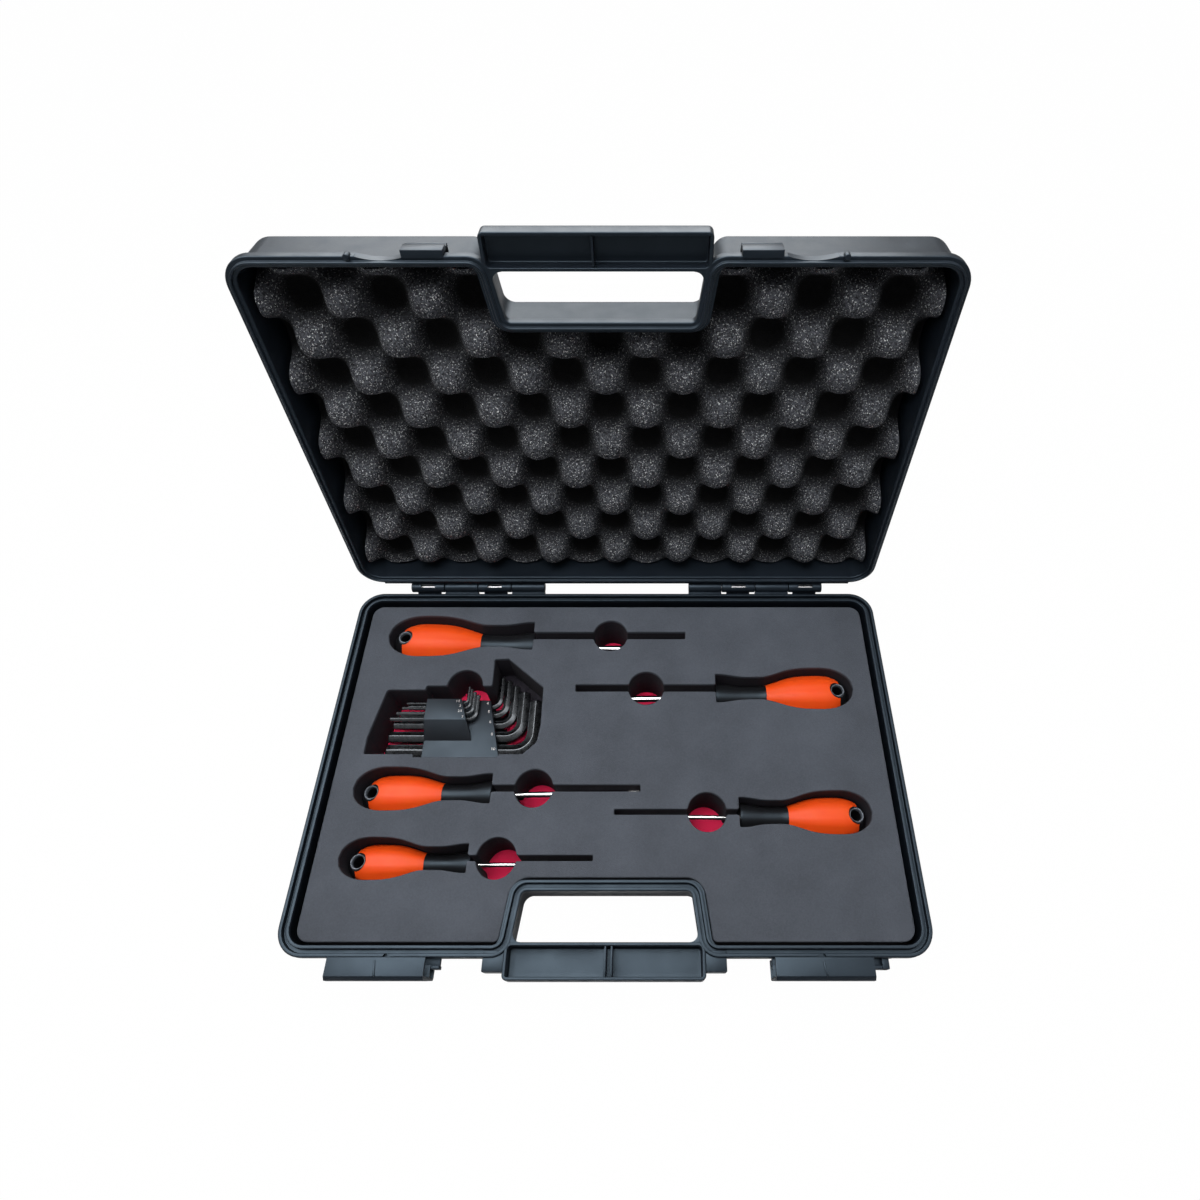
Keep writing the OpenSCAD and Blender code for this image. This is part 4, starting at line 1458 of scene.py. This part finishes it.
@dataclass
class Studio:
    """A white sweep, soft lights and the camera."""

    floor_size: float = 12.0
    world_level: float = 0.2
    glossy_level: float = 0.3
    camera_at: Tuple[float, float, float] = (0.0299, -0.1682, 0.5261)
    camera_turn: float = 32.49
    lens: float = 21.56
    shift: Tuple[float, float] = (-0.0458, -0.01367)
    lights: Sequence[Tuple[str, Tuple[float, float, float], float, float, bool]] = (
        ("top_light", (-0.10, 0.07, 0.95), 0.6, 7.8, True),
        ("back_card", (-0.1, 1.1, 1.0), 1.2, 27.0, False),
        ("side_card", (-0.62, 0.1, 0.9), 0.7, 9.0, False),
        ("far_card", (0.55, 0.05, 0.9), 0.6, 3.0, False),
    )

    def seen(self, tree: bpy.types.NodeTree, kinds: Sequence[str]) -> bpy.types.NodeSocket:
        """1 for rays of the given kinds, else 0."""
        path = tree.nodes.new("ShaderNodeLightPath")
        total = path.outputs[kinds[0]]
        for kind in kinds[1:]:
            both = tree.nodes.new("ShaderNodeMath")
            both.operation = "MAXIMUM"
            tree.links.new(total, both.inputs[0])
            tree.links.new(path.outputs[kind], both.inputs[1])
            total = both.outputs[0]
        return total

    def floor(self) -> bpy.types.Object:
        """Lays the floor, which stays white to the camera but keeps a faint shadow."""
        bm = bmesh.new()
        bmesh.ops.create_grid(bm, x_segments=1, y_segments=1, size=self.floor_size / 2)
        mesh = bpy.data.meshes.new("floor")
        bm.to_mesh(mesh)
        bm.free()
        obj = bpy.data.objects.new("floor", mesh)
        bpy.context.scene.collection.objects.link(obj)
        material = bpy.data.materials.new("studio_floor")
        material.use_nodes = True
        tree = material.node_tree
        shader = tree.nodes["Principled BSDF"]
        shader.inputs["Base Color"].default_value = (0.9, 0.9, 0.9, 1)
        shader.inputs["Roughness"].default_value = 0.9
        glow = tree.nodes.new("ShaderNodeEmission")
        glow.inputs["Color"].default_value = (1, 1, 1, 1)
        mix = tree.nodes.new("ShaderNodeMixShader")
        share = tree.nodes.new("ShaderNodeMath")
        share.operation = "MULTIPLY"
        share.inputs[1].default_value = 0.992
        tree.links.new(self.seen(tree, ("Is Camera Ray",)), share.inputs[0])
        tree.links.new(share.outputs[0], mix.inputs[0])
        tree.links.new(shader.outputs[0], mix.inputs[1])
        tree.links.new(glow.outputs[0], mix.inputs[2])
        tree.links.new(mix.outputs[0], tree.nodes["Material Output"].inputs["Surface"])
        mesh.materials.append(material)
        return obj

    def world(self) -> None:
        """Lights the scene evenly from all round, white where it is seen."""
        world = bpy.data.worlds.new("studio")
        bpy.context.scene.world = world
        world.use_nodes = True
        tree = world.node_tree
        sky = tree.nodes["Background"]
        level: object = self.world_level
        for kinds, strength in ((("Is Glossy Ray",), self.glossy_level),
                                (("Is Camera Ray", "Is Transmission Ray"), 1.0)):
            step = tree.nodes.new("ShaderNodeMapRange")
            step.inputs[4].default_value = strength
            tree.links.new(self.seen(tree, kinds), step.inputs[0])
            if isinstance(level, float):
                step.inputs[3].default_value = level
            else:
                tree.links.new(level, step.inputs[3])
            level = step.outputs[0]
        sky.inputs["Color"].default_value = (1, 1, 1, 1)
        tree.links.new(level, sky.inputs["Strength"])

    def lamps(self) -> None:
        """Hangs the soft area lights; the cards only show as sheen on glossy surfaces."""
        for name, at, size, power, lit in self.lights:
            light = bpy.data.lights.new(name, "AREA")
            light.shape = "SQUARE"
            light.size = size
            light.energy = power
            obj = bpy.data.objects.new(name, light)
            obj.location = at
            obj.visible_diffuse = lit
            obj.rotation_euler = (Vector((0, 0, 0.05)) - Vector(at)).to_track_quat("-Z",
                                                                                   "Y").to_euler()
            bpy.context.scene.collection.objects.link(obj)

    def camera(self) -> None:
        """Sets up the camera."""
        lens = bpy.data.cameras.new("camera")
        lens.sensor_width = 36
        lens.lens = self.lens
        lens.shift_x, lens.shift_y = self.shift
        obj = bpy.data.objects.new("camera", lens)
        obj.location = self.camera_at
        obj.rotation_euler = (math.radians(self.camera_turn), 0, 0)
        bpy.context.scene.collection.objects.link(obj)
        bpy.context.scene.camera = obj

    def build(self) -> None:
        """Makes the whole studio."""
        bpy.context.scene.view_settings.view_transform = "Standard"
        self.camera()
        self.floor()
        self.world()
        self.lamps()
        log.info("studio: floor, world, %d lights and camera", len(self.lights))


# ---- main ---------------------------------------------------------------------------------

def main() -> None:
    """Builds the case, its foam, its tools and the studio."""
    Studio().build()
    BaseShell().build()
    LidShell().build()
    for side in Side:
        LatchSlider(side).build()
    HingePins().build()
    FoamBacking().build()
    FoamTray().build()
    LidFoam().build()
    for place in DRIVERS:
        Screwdriver(place).build()
    keys = {"hex_key_" + f"{size:g}".replace(".", "_"): size for size in (1.5, 2, 2.5, 3, 4, 5, 6,
                                                                          8, 10)}
    for node, size in keys.items():
        HexKey(size, node).build()
    KeyHolder(keys).build()


if __name__ == "__main__":
    main()
